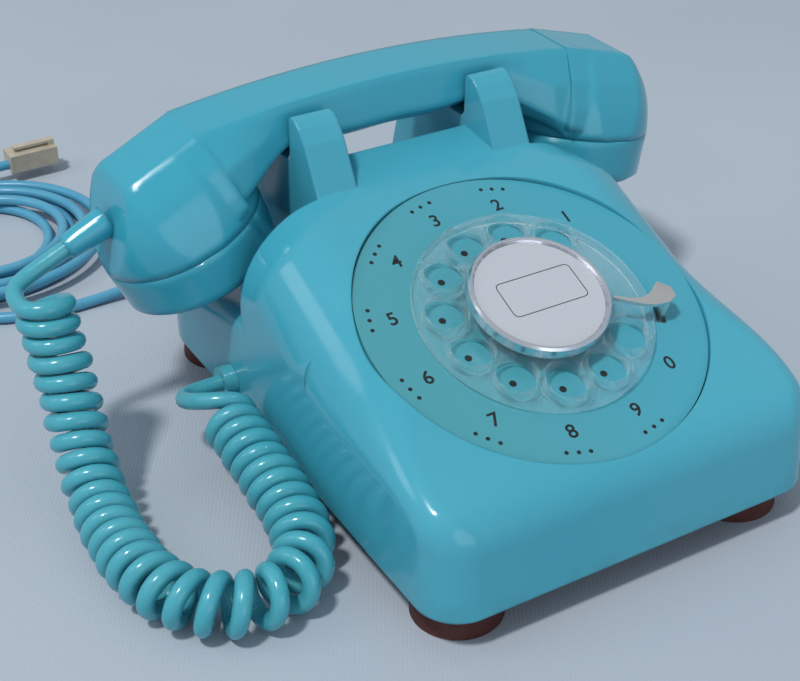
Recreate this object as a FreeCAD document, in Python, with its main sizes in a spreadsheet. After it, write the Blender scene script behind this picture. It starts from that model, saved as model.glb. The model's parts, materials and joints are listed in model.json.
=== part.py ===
import FreeCAD, Part
import Sketcher
import math
import os
from FreeCAD import Vector, Placement, Rotation

# Desk telephone with a finger-wheel dial.
# Millimetres. +X to the right of the user, +Y to the rear, +Z up.
# The housing and the dial are drawn about X = 0. The pieces are written about an origin on the table that
# lies under the middle of the telephone's box, because one end of the handset reaches out further.

doc = FreeCAD.newDocument("rotary_telephone")
sheet = doc.addObject("Spreadsheet::Sheet", "Sizes")

SIZES = [
    # written origin
    ("origin_shift", 4.75),
    # housing
    ("foot_height", 12.0), ("foot_radius", 14.5), ("foot_side_inset", 17.9),
    ("foot_front_inset", 19.5), ("foot_rear_inset", 22.0),
    ("housing_half_width", 70.9), ("housing_half_depth", 104.0), ("wall_thick", 3.0),
    ("front_lean", 3.0), ("front_brow_radius", 16.0), ("front_corner_radius", 14.0),
    ("shoulder_start_radius", 9.0), ("shoulder_end_radius", 34.0), ("shoulder_start_y", -35.0),
    ("crest_bend_radius", 40.0), ("bend_y", 4.625), ("apron_rear_y", 21.0), ("apron_rear_z", 87.4),
    ("crest_y", 40.0), ("crest_z", 90.0),
    ("tray_front_z", 51.0), ("tray_rear_z", 33.0), ("tray_edge_radius", 7.0), ("rear_corner_radius", 30.0),
    ("prong_inner_x", 26.7), ("prong_outer_x", 41.3), ("prong_top_z", 109.0),
    ("saddle_gap", 0.32), ("prong_gap", 0.35), ("well_floor_z", 60.0), ("tower_inset", 6.0),
    # base plate and fasteners
    ("plate_thick", 1.5), ("plate_fit", 0.7), ("screw_radius", 1.9), ("screw_head_radius", 4.0),
    ("boss_half_width", 5.0), ("boss_depth", 14.0), ("boss_height", 13.0), ("screw_inset", 12.0),
    ("screw_slack", 0.3), ("screw_length", 9.0), ("screw_head_height", 2.0),
    # dial, in the tilted frame of the dial face
    ("dial_tilt", 21.65), ("dial_centre_y", -42.6), ("dial_proud", 1.5),
    ("ring_radius", 57.0), ("ring_thick", 1.6), ("ring_fit", 0.35),
    ("wheel_radius", 39.0), ("wheel_gap", 0.7), ("rim_height", 1.9), ("hub_radius", 24.0),
    ("hub_low_z", 4.2), ("hub_high_z", 6.2),
    ("hole_radius", 6.75), ("hole_circle", 29.9), ("hole_pitch_deg", 30.0),
    ("first_hole_deg", 46.7), ("collar_wall", 1.1),
    ("card_radius", 18.6), ("card_thick", 0.4), ("cup_radius", 22.8), ("cup_floor", 2.4),
    ("cover_thick", 1.2),
    ("stop_angle", -21.4), ("stop_height", 7.2), ("stop_thick", 1.3), ("stop_reach", 24.4),
    ("stop_foot_radius", 42.3),
    ("shaft_radius", 3.0), ("shaft_fit", 0.05), ("frame_radius", 46.0), ("frame_thick", 1.6),
    ("mech_depth", 16.8), ("back_plate_radius", 31.0), ("pillar_radius", 2.2), ("pillar_circle", 27.0),
    ("gear_module", 0.75), ("gear_teeth", 48), ("pinion_teeth", 8), ("gear_thick", 2.5), ("gear_depth", 9.5),
    ("pulse_shaft_radius", 1.5), ("cam_radius", 5.0), ("cam_depth", 6.4), ("cam_thick", 2.0),
    ("weight_radius", 7.6), ("weight_depth", 14.0), ("weight_thick", 3.0), ("governor_gap", 1.0),
    ("barrel_radius", 8.0), ("barrel_height", 4.4), ("bracket_x", 37.0), ("bracket_thick", 1.5),
    # hook switch
    ("plunger_x", 34.0), ("plunger_radius", 2.8), ("plunger_fit", 0.08), ("plunger_proud", 0.4),
    ("plunger_rest", 0.2),
    ("lever_inset", 18.0), ("lever_z", 46.0), ("lever_half_height", 1.5), ("pin_radius", 1.5),
    ("switch_half_width", 21.6), ("switch_depth", 10.0), ("switch_sheet", 1.6), ("switch_head", 5.0),
    ("contact_width", 16.0), ("contact_depth", 8.0), ("contact_height", 10.0),
    # ringer
    ("gong_side_inset", 26.9), ("gong_rear_inset", 34.0), ("gong_pitch", 48.0), ("gong_radius", 20.0),
    ("gong_top_z", 30.0), ("gong_height", 11.0), ("gong_wall", 1.6), ("gong_post_radius", 3.0),
    ("clapper_reach", 18.0), ("clapper_ball_radius", 3.2), ("coil_radius", 8.5), ("coil_length", 28.0),
    ("coil_gap", 13.0), ("coil_z", 25.5), ("yoke_half_width", 11.0), ("yoke_height", 22.0),
    ("yoke_sheet", 1.5), ("gong_screw_radius", 1.55), ("gong_screw_head", 3.2),
    ("volume_radius", 11.0), ("volume_inset", 23.9), ("volume_y", -8.0),
    # network
    ("network_length", 48.0), ("network_width", 50.0), ("network_height", 20.0),
    ("network_inset", 9.9), ("network_y", 8.0),
    ("terminal_radius", 2.2), ("terminal_height", 2.0),
    # handset
    ("handset_y", 55.0), ("transmitter_offset", 75.8), ("transmitter_seam_z", 71.1),
    ("transmitter_tilt", 21.0), ("receiver_offset", 84.0), ("receiver_seam_z", 71.9),
    ("receiver_tilt", 10.9), ("cap_lean", 6.9),
    ("cap_radius", 29.0), ("bell_height", 37.0), ("bell_facet_height", 31.5), ("bell_facet_fall", 4.8),
    ("cap_depth", 17.0), ("cap_face_radius", 25.6), ("cap_floor", 2.6), ("cap_wall", 3.2),
    ("cap_groove", 0.8), ("cap_hole_radius", 1.5), ("cap_hole_circle", 10.0),
    ("handle_top_z", 113.0), ("handle_low_z", 95.0), ("handle_arch_radius", 480.0), ("handle_facet", 11.5),
    ("handle_half_width", 14.4), ("handle_side_drop", 13.5), ("handle_base", 9.0),
    ("capsule_radius", 24.4), ("capsule_top", -4.0), ("cup_bore", 20.0), ("cup_bore_depth", 12.0),
    ("bushing_radius", 5.4), ("bushing_tip_radius", 4.2), ("bushing_length", 16.0),
    # cords
    ("curl_tube_radius", 2.7), ("curl_radius", 6.1), ("curl_count", 34.0),
    ("grommet_radius", 5.5), ("grommet_y", 32.0), ("grommet_z", 21.0), ("grommet_proud", 4.5),
    ("line_radius", 2.15), ("hank_radius", 56.0), ("hank_pitch", 8.0), ("hank_turns", 3.0),
    ("hank_layer", 5.0), ("hank_x", -112.0), ("hank_y", 207.0), ("hank_start_deg", 225.0),
    ("hank_tail", 36.0),
    ("line_exit_inset", 25.9), ("line_exit_z", 18.2), ("line_exit_radius", 4.2),
    ("plug_length", 22.0), ("plug_width", 11.0), ("plug_height", 8.0),
    ("latch_width", 3.6), ("latch_rise", 2.4), ("latch_thick", 1.1),
]


class Size:
    """A length with its value and the sheet expression it comes from."""

    def __init__(self, value, text):
        self.value = value
        self.text = text

    def __add__(self, other):
        other = size(other)
        return Size(self.value + other.value, "(%s + %s)" % (self.text, other.text))

    def __sub__(self, other):
        other = size(other)
        return Size(self.value - other.value, "(%s - %s)" % (self.text, other.text))

    def __mul__(self, other):
        other = size(other)
        return Size(self.value * other.value, "(%s * %s)" % (self.text, other.text))

    def __truediv__(self, other):
        other = size(other)
        return Size(self.value / other.value, "(%s / %s)" % (self.text, other.text))

    def __neg__(self):
        return Size(-self.value, "(0 - %s)" % self.text)

    def __radd__(self, other):
        return size(other) + self

    def __rsub__(self, other):
        return size(other) - self

    def __rmul__(self, other):
        return size(other) * self


def size(number):
    if isinstance(number, Size):
        return number
    return Size(float(number), "%.6g" % number)


class Table:
    pass


S = Table()
for row, (alias, number) in enumerate(SIZES, start=1):
    sheet.set("A%d" % row, alias)
    sheet.set("B%d" % row, "%g" % number)
    sheet.setAlias("B%d" % row, alias)
    setattr(S, alias, Size(float(number), "Sizes." + alias))
doc.recompute()

NODES = []


def bind(obj, prop, amount):
    obj.setExpression(prop, size(amount).text)


def put(obj, x=0, y=0, z=0, axis=None, angle=0):
    """Places an object, its position and turn bound to the sheet."""
    if axis is not None:
        obj.Placement = Placement(Vector(), Rotation(Vector(*axis), size(angle).value))
        bind(obj, "Placement.Rotation.Angle", angle)
    for name, amount in (("x", x), ("y", y), ("z", z)):
        bind(obj, "Placement.Base." + name, amount)
    return obj


def box(tag, span_x, span_y, span_z, x, y, z):
    obj = doc.addObject("Part::Box", tag)
    for prop, amount in (("Length", span_x), ("Width", span_y), ("Height", span_z)):
        bind(obj, prop, amount)
    return put(obj, x, y, z)


AXES = {"x": ((0, 1, 0), 90), "y": ((1, 0, 0), -90), "z": ((0, 0, 1), 0)}


def rod(tag, radius, length, x=0, y=0, z=0, along="z"):
    obj = doc.addObject("Part::Cylinder", tag)
    bind(obj, "Radius", radius)
    bind(obj, "Height", length)
    axis, angle = AXES[along]
    return put(obj, x, y, z, axis, angle)


def cone(tag, low_radius, high_radius, height, x=0, y=0, z=0):
    obj = doc.addObject("Part::Cone", tag)
    bind(obj, "Radius1", low_radius)
    bind(obj, "Radius2", high_radius)
    bind(obj, "Height", height)
    return put(obj, x, y, z)


def fuse(tag, *parts):
    obj = doc.addObject("Part::MultiFuse", tag)
    obj.Shapes = list(parts)
    obj.Refine = True
    return obj


def join(tag, first, second):
    obj = doc.addObject("Part::Fuse", tag)
    obj.Base = first
    obj.Tool = second
    return obj


def cut(tag, base, *tools):
    obj = doc.addObject("Part::Cut", tag)
    obj.Base = base
    obj.Tool = tools[0] if len(tools) == 1 else fuse(tag + "_tools", *tools)
    return obj


def common(tag, first, second):
    obj = doc.addObject("Part::Common", tag)
    obj.Base = first
    obj.Tool = second
    return obj


def group(tag, *parts):
    obj = doc.addObject("Part::Compound", tag)
    obj.Links = list(parts)
    return obj


PLANES = {
    "xy": Rotation(),
    "xz": Rotation(Vector(1, 0, 0), 90),
    "yz": Rotation(Vector(1, 1, 1), 120),
}


def outline(tag, corners, plane):
    """A closed sketch of straight lines, each corner bound to the sheet."""
    sketch = doc.addObject("Sketcher::SketchObject", tag)
    sketch.Placement = Placement(Vector(), PLANES[plane])
    spots = [Vector(size(u).value, size(v).value, 0) for u, v in corners]
    count = len(spots)
    for i in range(count):
        sketch.addGeometry(Part.LineSegment(spots[i], spots[(i + 1) % count]), False)
    for i in range(count):
        sketch.addConstraint(Sketcher.Constraint("Coincident", i, 2, (i + 1) % count, 1))
    for i, (u, v) in enumerate(corners):
        for kind, amount in (("DistanceX", u), ("DistanceY", v)):
            index = sketch.addConstraint(Sketcher.Constraint(kind, -1, 1, i, 1, size(amount).value))
            if isinstance(amount, Size):
                sketch.setExpression("Constraints[%d]" % index, amount.text)
    return sketch


def turned(tag, corners):
    """A solid of revolution about Z from (radius, height) corners."""
    obj = doc.addObject("Part::Revolution", tag)
    obj.Source = outline(tag + "_profile", corners, "xz")
    obj.Axis = Vector(0, 0, 1)
    obj.Angle = 360
    obj.Solid = True
    return obj


def slab(tag, corners, plane, thick, start=0):
    """An outline drawn in a plane and thickened square to it."""
    obj = doc.addObject("Part::Extrusion", tag)
    obj.Base = outline(tag + "_outline", corners, plane)
    obj.DirMode = "Normal"
    obj.Solid = True
    bind(obj, "LengthFwd", thick)
    shift = {"xy": (0, 0, start), "xz": (0, -size(start), 0), "yz": (start, 0, 0)}[plane]
    return put(obj, *shift)


def rounded(tag, base, picks):
    """Rounds the edges nearest to the given points: (point, first radius, last radius)."""
    doc.recompute()
    obj = doc.addObject("Part::Fillet", tag)
    obj.Base = base
    rows = {}
    for point, first, last in picks:
        spot = Part.Vertex(Vector(*point))
        gaps = [edge.distToShape(spot)[0] for edge in base.Shape.Edges]
        rows[gaps.index(min(gaps)) + 1] = (first, last)
    obj.Edges = [(index, first, last) for index, (first, last) in rows.items()]
    return obj


def fixed(tag, shape):
    obj = doc.addObject("Part::Feature", tag)
    obj.Shape = shape
    return obj


def node(label, obj):
    obj.Label = label
    NODES.append(obj)
    return obj


def sine(angle):
    return Size(math.sin(math.radians(angle.value)), "sin(%s * 1 deg)" % angle.text)


def cosine(angle):
    return Size(math.cos(math.radians(angle.value)), "cos(%s * 1 deg)" % angle.text)


def arch(x):
    """How far the arched handle has fallen at a distance from its middle."""
    return x * x / (2 * S.handle_arch_radius)


# The apron slopes down from its bend, and the dial lies just under that slope.
tilt_tan = Size(math.tan(math.radians(S.dial_tilt.value)), "tan(Sizes.dial_tilt * 1 deg)")
tilt_cos = Size(math.cos(math.radians(S.dial_tilt.value)), "cos(Sizes.dial_tilt * 1 deg)")
crest_grade = (S.crest_z - S.apron_rear_z) / (S.crest_y - S.apron_rear_y)
bend_z = S.apron_rear_z - crest_grade * (S.apron_rear_y - S.bend_y)
dial_centre_z = bend_z - tilt_tan * (S.bend_y - S.dial_centre_y) - S.dial_proud / tilt_cos


def on_dial(obj):
    """Moves a piece from the frame of the dial face to its place in the telephone."""
    return put(obj, 0, S.dial_centre_y, dial_centre_z, (1, 0, 0), S.dial_tilt)


def dial_point(u, v, w):
    tilt = math.radians(S.dial_tilt.value)
    return Vector(u, S.dial_centre_y.value + v * math.cos(tilt) - w * math.sin(tilt),
                  dial_centre_z.value + v * math.sin(tilt) + w * math.cos(tilt))


floor_z = S.foot_height
deck_z = S.foot_height + S.plate_thick
saddle_z = S.handle_low_z - arch(S.prong_outer_x) - S.saddle_gap

# Places that follow the housing's width and depth.
foot_x = S.housing_half_width - S.foot_side_inset
foot_front_y = S.foot_front_inset - S.housing_half_depth
foot_rear_y = S.housing_half_depth - S.foot_rear_inset
tower_rear_y = S.housing_half_depth - S.tower_inset
lever_y = tower_rear_y - S.lever_inset
gong_x = S.housing_half_width - S.gong_side_inset
gong_rear_y = S.housing_half_depth - S.gong_rear_inset
gong_front_y = gong_rear_y - S.gong_pitch
clapper_x = gong_x - S.clapper_reach
coil_x = clapper_x - S.coil_gap
volume_x = S.housing_half_width - S.volume_inset
network_x = S.network_inset - S.housing_half_width
line_exit_x = S.line_exit_inset - S.housing_half_width


# Housing: an apron that carries the dial, a low tray behind it and a cradle tower.

def apron(tag, inset):
    """The dial apron grown inwards by an inset, with its rounded brow and shoulders."""
    half = S.housing_half_width.value - inset
    low = floor_z.value
    front = -S.housing_half_depth.value + inset
    rear = S.apron_rear_y.value - inset
    drop = inset / tilt_cos.value
    grade = crest_grade.value

    def slope_z(y):
        return bend_z.value + tilt_tan.value * (y - S.bend_y.value) - drop

    def deck_line(y):
        return S.apron_rear_z.value + grade * (y - S.apron_rear_y.value) - inset

    bend_y = S.bend_y.value
    if abs(tilt_tan.value - grade) > 0.01:
        bend_y = (deck_line(0) - slope_z(0)) / (tilt_tan.value - grade)
    split = S.shoulder_start_y.value
    brow_y = front + S.front_lean.value
    profile = [(front, low), (brow_y, slope_z(brow_y)), (split, slope_z(split)), (bend_y, slope_z(bend_y)),
               (rear, deck_line(rear)), (rear, low)]
    block = slab(tag + "_block", profile, "yz", 2 * half, -half)
    brow = (0, brow_y, slope_z(brow_y))
    bend = (0, bend_y, slope_z(bend_y))
    brow_radius = S.front_brow_radius.value - inset
    bend_radius = S.crest_bend_radius.value
    soft = rounded(tag + "_soft", block, [(brow, brow_radius, brow_radius), (bend, bend_radius, bend_radius)])
    doc.recompute()

    def shoulder(point):
        span = rear - split
        if point.y < split:
            corner = point.z < slope_z(brow_y)
            return (S.front_corner_radius if corner else S.shoulder_start_radius).value - inset
        share = (point.y - split) / span
        start = S.shoulder_start_radius.value
        return start + (S.shoulder_end_radius.value - start) * share - inset

    rows = []
    for index, edge in enumerate(soft.Shape.Edges, start=1):
        middle = edge.CenterOfMass
        at_side = abs(abs(middle.x) - half) < 1e-3
        if at_side and middle.z > low + 1 and middle.y < rear - 1e-3:
            first, last = [shoulder(v.Point) for v in edge.Vertexes]
            rows.append((index, first, last))
    obj = doc.addObject("Part::Fillet", tag)
    obj.Base = soft
    obj.Edges = rows
    return obj


def tray(tag, inset):
    """The low rear part under the handset's caps."""
    half = S.housing_half_width - inset
    rear = S.housing_half_depth - inset
    front = S.apron_rear_y - 45
    grade = (S.tray_rear_z - S.tray_front_z) / (S.housing_half_depth - S.apron_rear_y)
    front_top = S.tray_front_z - 45 * grade - inset
    rear_top = S.tray_rear_z - inset - grade * inset
    block = slab(tag + "_block", [(front, floor_z), (rear, floor_z), (rear, rear_top), (front, front_top)],
                 "yz", 2 * half, -half)
    x, y = half.value, rear.value
    middle = (floor_z.value + rear_top.value) / 2
    corner = S.rear_corner_radius.value - inset
    cornered = rounded(tag + "_cornered", block,
                       [((x, y, middle), corner, corner), ((-x, y, middle), corner, corner)])
    edge = S.tray_edge_radius.value - min(inset, 2)
    return rounded(tag, cornered, [((0, y, rear_top.value), edge, edge)])


def tower(tag):
    """The cradle: a low middle with a finger well and two ears with prongs."""
    inner, outer = S.prong_inner_x, S.prong_outer_x
    rear_low = tower_rear_y
    start = S.apron_rear_y - 6
    middle = [(start, floor_z), (start, S.apron_rear_z - 6), (S.apron_rear_y, S.apron_rear_z),
              (S.crest_y, S.crest_z), (S.crest_y + 2.5, S.crest_z - 2.5),
              (S.crest_y + 5, S.well_floor_z + 3), (S.crest_y + 9, S.well_floor_z),
              (S.handset_y + 27, S.well_floor_z - 2), (rear_low - 3, S.tray_rear_z + 7),
              (rear_low, S.tray_rear_z), (rear_low, floor_z)]
    top = S.prong_top_z
    hold = S.handset_y - S.handle_half_width - S.prong_gap
    back = S.handset_y + S.handle_half_width + S.prong_gap
    ear = [(start, floor_z), (start, S.apron_rear_z - 6), (S.apron_rear_y, S.apron_rear_z),
           (S.apron_rear_y + 4, S.apron_rear_z + 7.2), (S.apron_rear_y + 8, top - 7),
           (S.apron_rear_y + 12, top - 2.4), (hold - 4.2, top - 0.3), (hold - 1.6, top),
           (hold - 0.4, top - 1.2), (hold, top - 4), (hold, saddle_z + 2), (hold + 1.5, saddle_z),
           (back - 1.5, saddle_z),
           (back, saddle_z + 2), (back, top - 7), (back + 1.5, top - 4.5), (back + 5, top - 6),
           (back + 12, top - 18), (rear_low - 4, S.tray_rear_z + 18), (rear_low, S.tray_rear_z),
           (rear_low, floor_z)]
    width = outer - inner
    centre = slab(tag + "_centre", middle, "yz", 2 * inner, -inner)
    right = slab(tag + "_right", ear, "yz", width, inner)
    left = slab(tag + "_left", ear, "yz", width, -outer)
    return fuse(tag, centre, right, left)


def tower_hollow(tag):
    wall = S.wall_thick
    inner, outer = S.prong_inner_x, S.prong_outer_x - wall
    start = S.apron_rear_y - 10
    rear_low = tower_rear_y - wall
    well = S.well_floor_z - wall
    brow = S.apron_rear_z - wall
    middle = [(start, floor_z), (start, brow - 6), (S.apron_rear_y - 4, brow - 1.4),
              (S.crest_y, S.crest_z - wall - 1), (S.crest_y + 1, well + 6), (S.crest_y + 5, well),
              (S.handset_y + 24, well - 2), (rear_low - 4, S.tray_rear_z + 4), (rear_low, floor_z)]
    ear = [(start, floor_z), (start, brow - 6), (S.apron_rear_y - 4, brow - 1.4),
           (S.crest_y, saddle_z - wall - 2), (S.handset_y + 16, saddle_z - wall - 2),
           (rear_low - 7, S.tray_rear_z + 16), (rear_low, floor_z)]
    centre = slab(tag + "_centre", middle, "yz", 2 * inner, -inner)
    right = slab(tag + "_right", ear, "yz", outer - inner - wall, inner + wall)
    left = slab(tag + "_left", ear, "yz", outer - inner - wall, -outer)
    low_ear = [(start, floor_z), (start, well - 4), (lever_y + 5, well - 6), (rear_low, floor_z)]
    across = slab(tag + "_across", low_ear, "yz", 2 * outer, -outer)
    return fuse(tag, centre, right, left, across)


def boss(tag, side):
    """A screw boss that grows from the front or rear wall."""
    reach = S.housing_half_depth - 1
    y = -reach if side < 0 else reach - S.boss_depth
    return box(tag, 2 * S.boss_half_width, S.boss_depth, S.boss_height, -S.boss_half_width, y, deck_z)


low_skin = join("housing_low_outer", apron("apron_outer", 0), tray("tray_outer", 0))
outer_skin = join("housing_outer", low_skin, tower("tower_outer"))
inset = S.wall_thick.value
low_hollow = join("housing_low_hollow", apron("apron_inner", inset), tray("tray_inner", inset))
hollow = join("housing_hollow", low_hollow, tower_hollow("tower_inner"))
shell = cut("housing_shell", outer_skin, hollow)
screw_y = S.housing_half_depth - S.screw_inset
bossed = shell
for side, label in ((-1, "front"), (1, "rear")):
    trimmed = common("boss_trim_" + label, boss("boss_" + label, side), outer_skin)
    bossed = join("housing_bossed_" + label, bossed, trimmed)
dial_hole = on_dial(group("dial_hole", rod("dial_hole_rod", S.ring_radius + S.ring_fit, 30, 0, 0, -4)))
housing_cuts = [dial_hole,
                rod("boss_hole_front", S.screw_radius + S.shaft_fit, 9, 0, -screw_y, floor_z),
                rod("boss_hole_rear", S.screw_radius + S.shaft_fit, 9, 0, screw_y, floor_z)]
for side, tag in ((-1, "left"), (1, "right")):
    housing_cuts.append(rod("plunger_hole_" + tag, S.plunger_radius + S.plunger_fit, 20, side * S.plunger_x,
                            S.handset_y, saddle_z - 18))
housing_cuts.append(rod("grommet_hole", S.grommet_radius, 12, -S.housing_half_width - 2, S.grommet_y,
                        S.grommet_z, "x"))
housing_cuts.append(rod("line_hole", S.line_exit_radius, 12, line_exit_x, S.housing_half_depth - 8,
                        S.line_exit_z, "y"))
node("housing", cut("housing_body", bossed, *housing_cuts))


# Base plate, feet and housing screws.

plate_half = S.housing_half_width - S.wall_thick - S.plate_fit
plate_deep = S.housing_half_depth - S.wall_thick - S.plate_fit
plate_box = box("plate_box", 2 * plate_half, 2 * plate_deep, S.plate_thick, -plate_half, -plate_deep, floor_z)
front_round = S.front_corner_radius.value - S.wall_thick.value
rear_round = S.rear_corner_radius.value - S.wall_thick.value
plate_mid = floor_z.value + S.plate_thick.value / 2
plate_corners = []
for side in (-1, 1):
    plate_corners.append(((side * plate_half.value, -plate_deep.value, plate_mid), front_round, front_round))
    plate_corners.append(((side * plate_half.value, plate_deep.value, plate_mid), rear_round, rear_round))
plate_soft = rounded("plate_soft", plate_box, plate_corners)
plate_holes = [rod("plate_hole_front", S.screw_radius + S.screw_slack, 4, 0, -screw_y, floor_z - 1),
               rod("plate_hole_rear", S.screw_radius + S.screw_slack, 4, 0, screw_y, floor_z - 1),
               rod("plate_hole_volume", S.pin_radius + S.shaft_fit, 4, volume_x, S.volume_y, floor_z - 1)]
node("base_plate", cut("plate_body", plate_soft, *plate_holes))

feet = []
for side, label in ((-1, "left"), (1, "right")):
    for end, y in (("front", foot_front_y), ("rear", foot_rear_y)):
        feet.append(cone("foot_%s_%s" % (end, label), S.foot_radius, S.foot_radius - 1, S.foot_height,
                         side * foot_x, y, 0))
node("base_feet", group("feet_group", *feet))

screws = []
for side, label in ((-1, "front"), (1, "rear")):
    head = rod("screw_head_" + label, S.screw_head_radius, S.screw_head_height, 0, side * screw_y,
               floor_z - S.screw_head_height)
    shank = rod("screw_shank_" + label, S.screw_radius, S.screw_length, 0, side * screw_y, floor_z - 0.5)
    screws.append(fuse("screw_" + label, head, shank))
node("housing_screws", group("screw_group", *screws))


# Dial. Heights below are square to the dial face, zero on the number ring.

slot_x = S.stop_foot_radius
ring_disc = rod("ring_disc", S.ring_radius, S.ring_thick, 0, 0, -S.ring_thick)
ring_hole = rod("ring_hole", S.shaft_radius + 0.6, 4, 0, 0, -3)
stop_slot = box("stop_slot", 3.2, 6.4, 6, 0, 0, -4)
put(stop_slot, 0, 0, 0, (0, 0, 1), S.stop_angle)
stop_turn = math.radians(S.stop_angle.value)


def on_stop(obj, u, v, w):
    """Places a piece in the frame of the finger stop, turned about the dial axis."""
    cos, sin = math.cos(stop_turn), math.sin(stop_turn)
    x = u * cos - v * sin
    y = u * sin + v * cos
    return put(obj, x, y, w, (0, 0, 1), S.stop_angle)


on_stop(stop_slot, slot_x - 1.6, size(-3.2), -4)
node("dial_number_ring", on_dial(cut("ring_body", ring_disc, ring_hole, stop_slot)))

STOP_BLADE = [(0, 0.5), (5, -0.3), (9, -0.1), (12.3, 2), (15.6, 6.8), (20, 4.6), (20.8, 1), (18, -1.6),
              (13.5, -2.8), (8.5, -2.4), (3.6, -1.4), (-0.4, -0.3)]
stop_outline = [(S.stop_reach + u, v) for u, v in STOP_BLADE]
stop_arm = slab("stop_arm", stop_outline, "xy", S.stop_thick)
on_stop(stop_arm, size(0), size(0), S.stop_height)
stop_foot = box("stop_foot", S.stop_thick, 3.4, S.stop_height + S.ring_thick, 0, 0, 0)
on_stop(stop_foot, slot_x - S.stop_thick / 2, size(-1.5), -S.ring_thick)
node("finger_stop", on_dial(fuse("stop_body", stop_arm, stop_foot)))

rim = S.wheel_radius
wheel_disc = turned("wheel_disc", [
    (S.shaft_radius, S.hub_low_z), (S.hub_radius, S.hub_low_z), (rim - 3.4, S.wheel_gap + 0.9),
    (rim - 2, S.wheel_gap), (rim, S.wheel_gap), (rim, S.wheel_gap + S.rim_height),
    (rim - 1.8, S.wheel_gap + S.rim_height + 0.6), (S.hub_radius + 0.5, S.hub_high_z),
    (S.shaft_radius, S.hub_high_z)])
collars = []
finger_holes = []
for number in range(10):
    turn = math.radians(S.first_hole_deg.value + number * S.hole_pitch_deg.value)
    x, y = S.hole_circle * math.cos(turn), S.hole_circle * math.sin(turn)
    collars.append(rod("collar_%d" % number, S.hole_radius + S.collar_wall, S.hub_low_z - 0.4, x, y,
                       S.wheel_gap + 0.7))
    finger_holes.append(rod("finger_hole_%d" % number, S.hole_radius, 12, x, y, -1))
wheel_solid = fuse("wheel_solid", wheel_disc, *collars)
node("finger_wheel", on_dial(cut("wheel_body", wheel_solid, *finger_holes)))

cup_top = S.hub_high_z + S.cup_floor
cover_low = cup_top + S.card_thick
cup_lip = S.cup_radius - 1.3
card_seat = S.card_radius + 0.1
cup = turned("cup_body", [
    (0, S.hub_high_z), (S.cup_radius, S.hub_high_z), (S.cup_radius, cup_top + 1.0),
    (S.cup_radius - 0.6, cup_top + 1.8), (cup_lip, cup_top + 1.8), (cup_lip, cover_low),
    (card_seat, cover_low), (card_seat, cup_top), (0, cup_top)])
node("card_ring", on_dial(cup))
node("number_card", on_dial(group("card_body", rod("card_disc", S.card_radius, S.card_thick, 0, 0, cup_top))))
cover_edge = cup_lip - 0.1
cover_high = cover_low + S.cover_thick
node("card_cover", on_dial(turned("cover_body", [
    (0, cover_low), (cover_edge, cover_low), (cover_edge, cover_high - 0.4), (S.cup_radius - 4, cover_high),
    (0, cover_high + 0.2)])))

frame_top = -S.ring_thick
frame_back = frame_top - S.frame_thick
plate_front = frame_back - S.mech_depth
shaft_low = plate_front - S.frame_thick - 1
shaft_rod = rod("shaft_rod", S.shaft_radius, S.hub_high_z - shaft_low, 0, 0, shaft_low)
node("dial_shaft", on_dial(group("shaft_body", shaft_rod)))

pulse_x = S.gear_module * (S.gear_teeth + S.pinion_teeth) / 2


def gear_shape(teeth, module, thick, bore, turn):
    """A spur gear with stubby straight-sided teeth, cut back for backlash."""
    pitch = module * teeth / 2.0
    tip, root = pitch + 0.6 * module, pitch - 0.95 * module
    corners = []
    step = 2 * math.pi / teeth
    for tooth in range(teeth):
        middle = turn + tooth * step
        for radius, share in ((root, -0.30), (tip, -0.13), (tip, 0.13), (root, 0.30)):
            angle = middle + share * step
            corners.append(Vector(radius * math.cos(angle), radius * math.sin(angle), 0))
    rim_face = Part.Face(Part.makePolygon(corners + corners[:1]))
    return rim_face.extrude(Vector(0, 0, thick)).cut(Part.makeCylinder(bore, 3 * thick, Vector(0, 0, -thick)))


gear_thick = S.gear_thick.value
main_gear = gear_shape(int(S.gear_teeth.value), S.gear_module.value, gear_thick, S.shaft_radius.value, 0)
main_gear.translate(Vector(0, 0, frame_back.value - S.gear_depth.value))
node("main_gear", on_dial(group("main_gear_set", fixed("main_gear_body", main_gear))))
half_tooth = math.pi / S.pinion_teeth.value
pinion = gear_shape(int(S.pinion_teeth.value), S.gear_module.value, gear_thick, S.pulse_shaft_radius.value,
                    math.pi + half_tooth)
pinion.translate(Vector(pulse_x.value, 0, frame_back.value - S.gear_depth.value))
node("pulse_pinion", on_dial(group("pinion_set", fixed("pinion_body", pinion))))
pulse_rod = rod("pulse_rod", S.pulse_shaft_radius, S.mech_depth + 2 * S.frame_thick - 0.4, pulse_x, 0,
                plate_front - S.frame_thick + 0.2)
node("pulse_shaft", on_dial(group("pulse_shaft_body", pulse_rod)))
cam_z = frame_back - S.cam_depth
cam_disc = rod("cam_disc", S.cam_radius - 1.2, S.cam_thick, pulse_x, 0, cam_z)
cam_lobes = box("cam_lobes", 2 * S.cam_radius, 2.4, S.cam_thick, pulse_x - S.cam_radius, -1.2, cam_z)
cam_bore = rod("cam_bore", S.pulse_shaft_radius, S.cam_thick + 2, pulse_x, 0, cam_z - 1)
node("pulse_cam", on_dial(cut("cam_body", fuse("cam_solid", cam_disc, cam_lobes), cam_bore)))
weight_z = frame_back - S.weight_depth
weight_disc = rod("weight_disc", S.weight_radius, S.weight_thick, pulse_x, 0, weight_z)
weight_gaps = [box("weight_gap_" + label, 2 * S.weight_radius + 2, 1.6, S.weight_thick + 2,
                   pulse_x - S.weight_radius - 1, y, weight_z - 1)
               for label, y in (("high", 3.2), ("low", -4.8))]
weight_bore = rod("weight_bore", S.pulse_shaft_radius, S.weight_thick + 2, pulse_x, 0, weight_z - 1)
weight_hub = rod("weight_hub", 5.6, 1, pulse_x, 0, weight_z)
weights = fuse("weights_solid", cut("weights_split", weight_disc, *weight_gaps), weight_hub)
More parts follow.
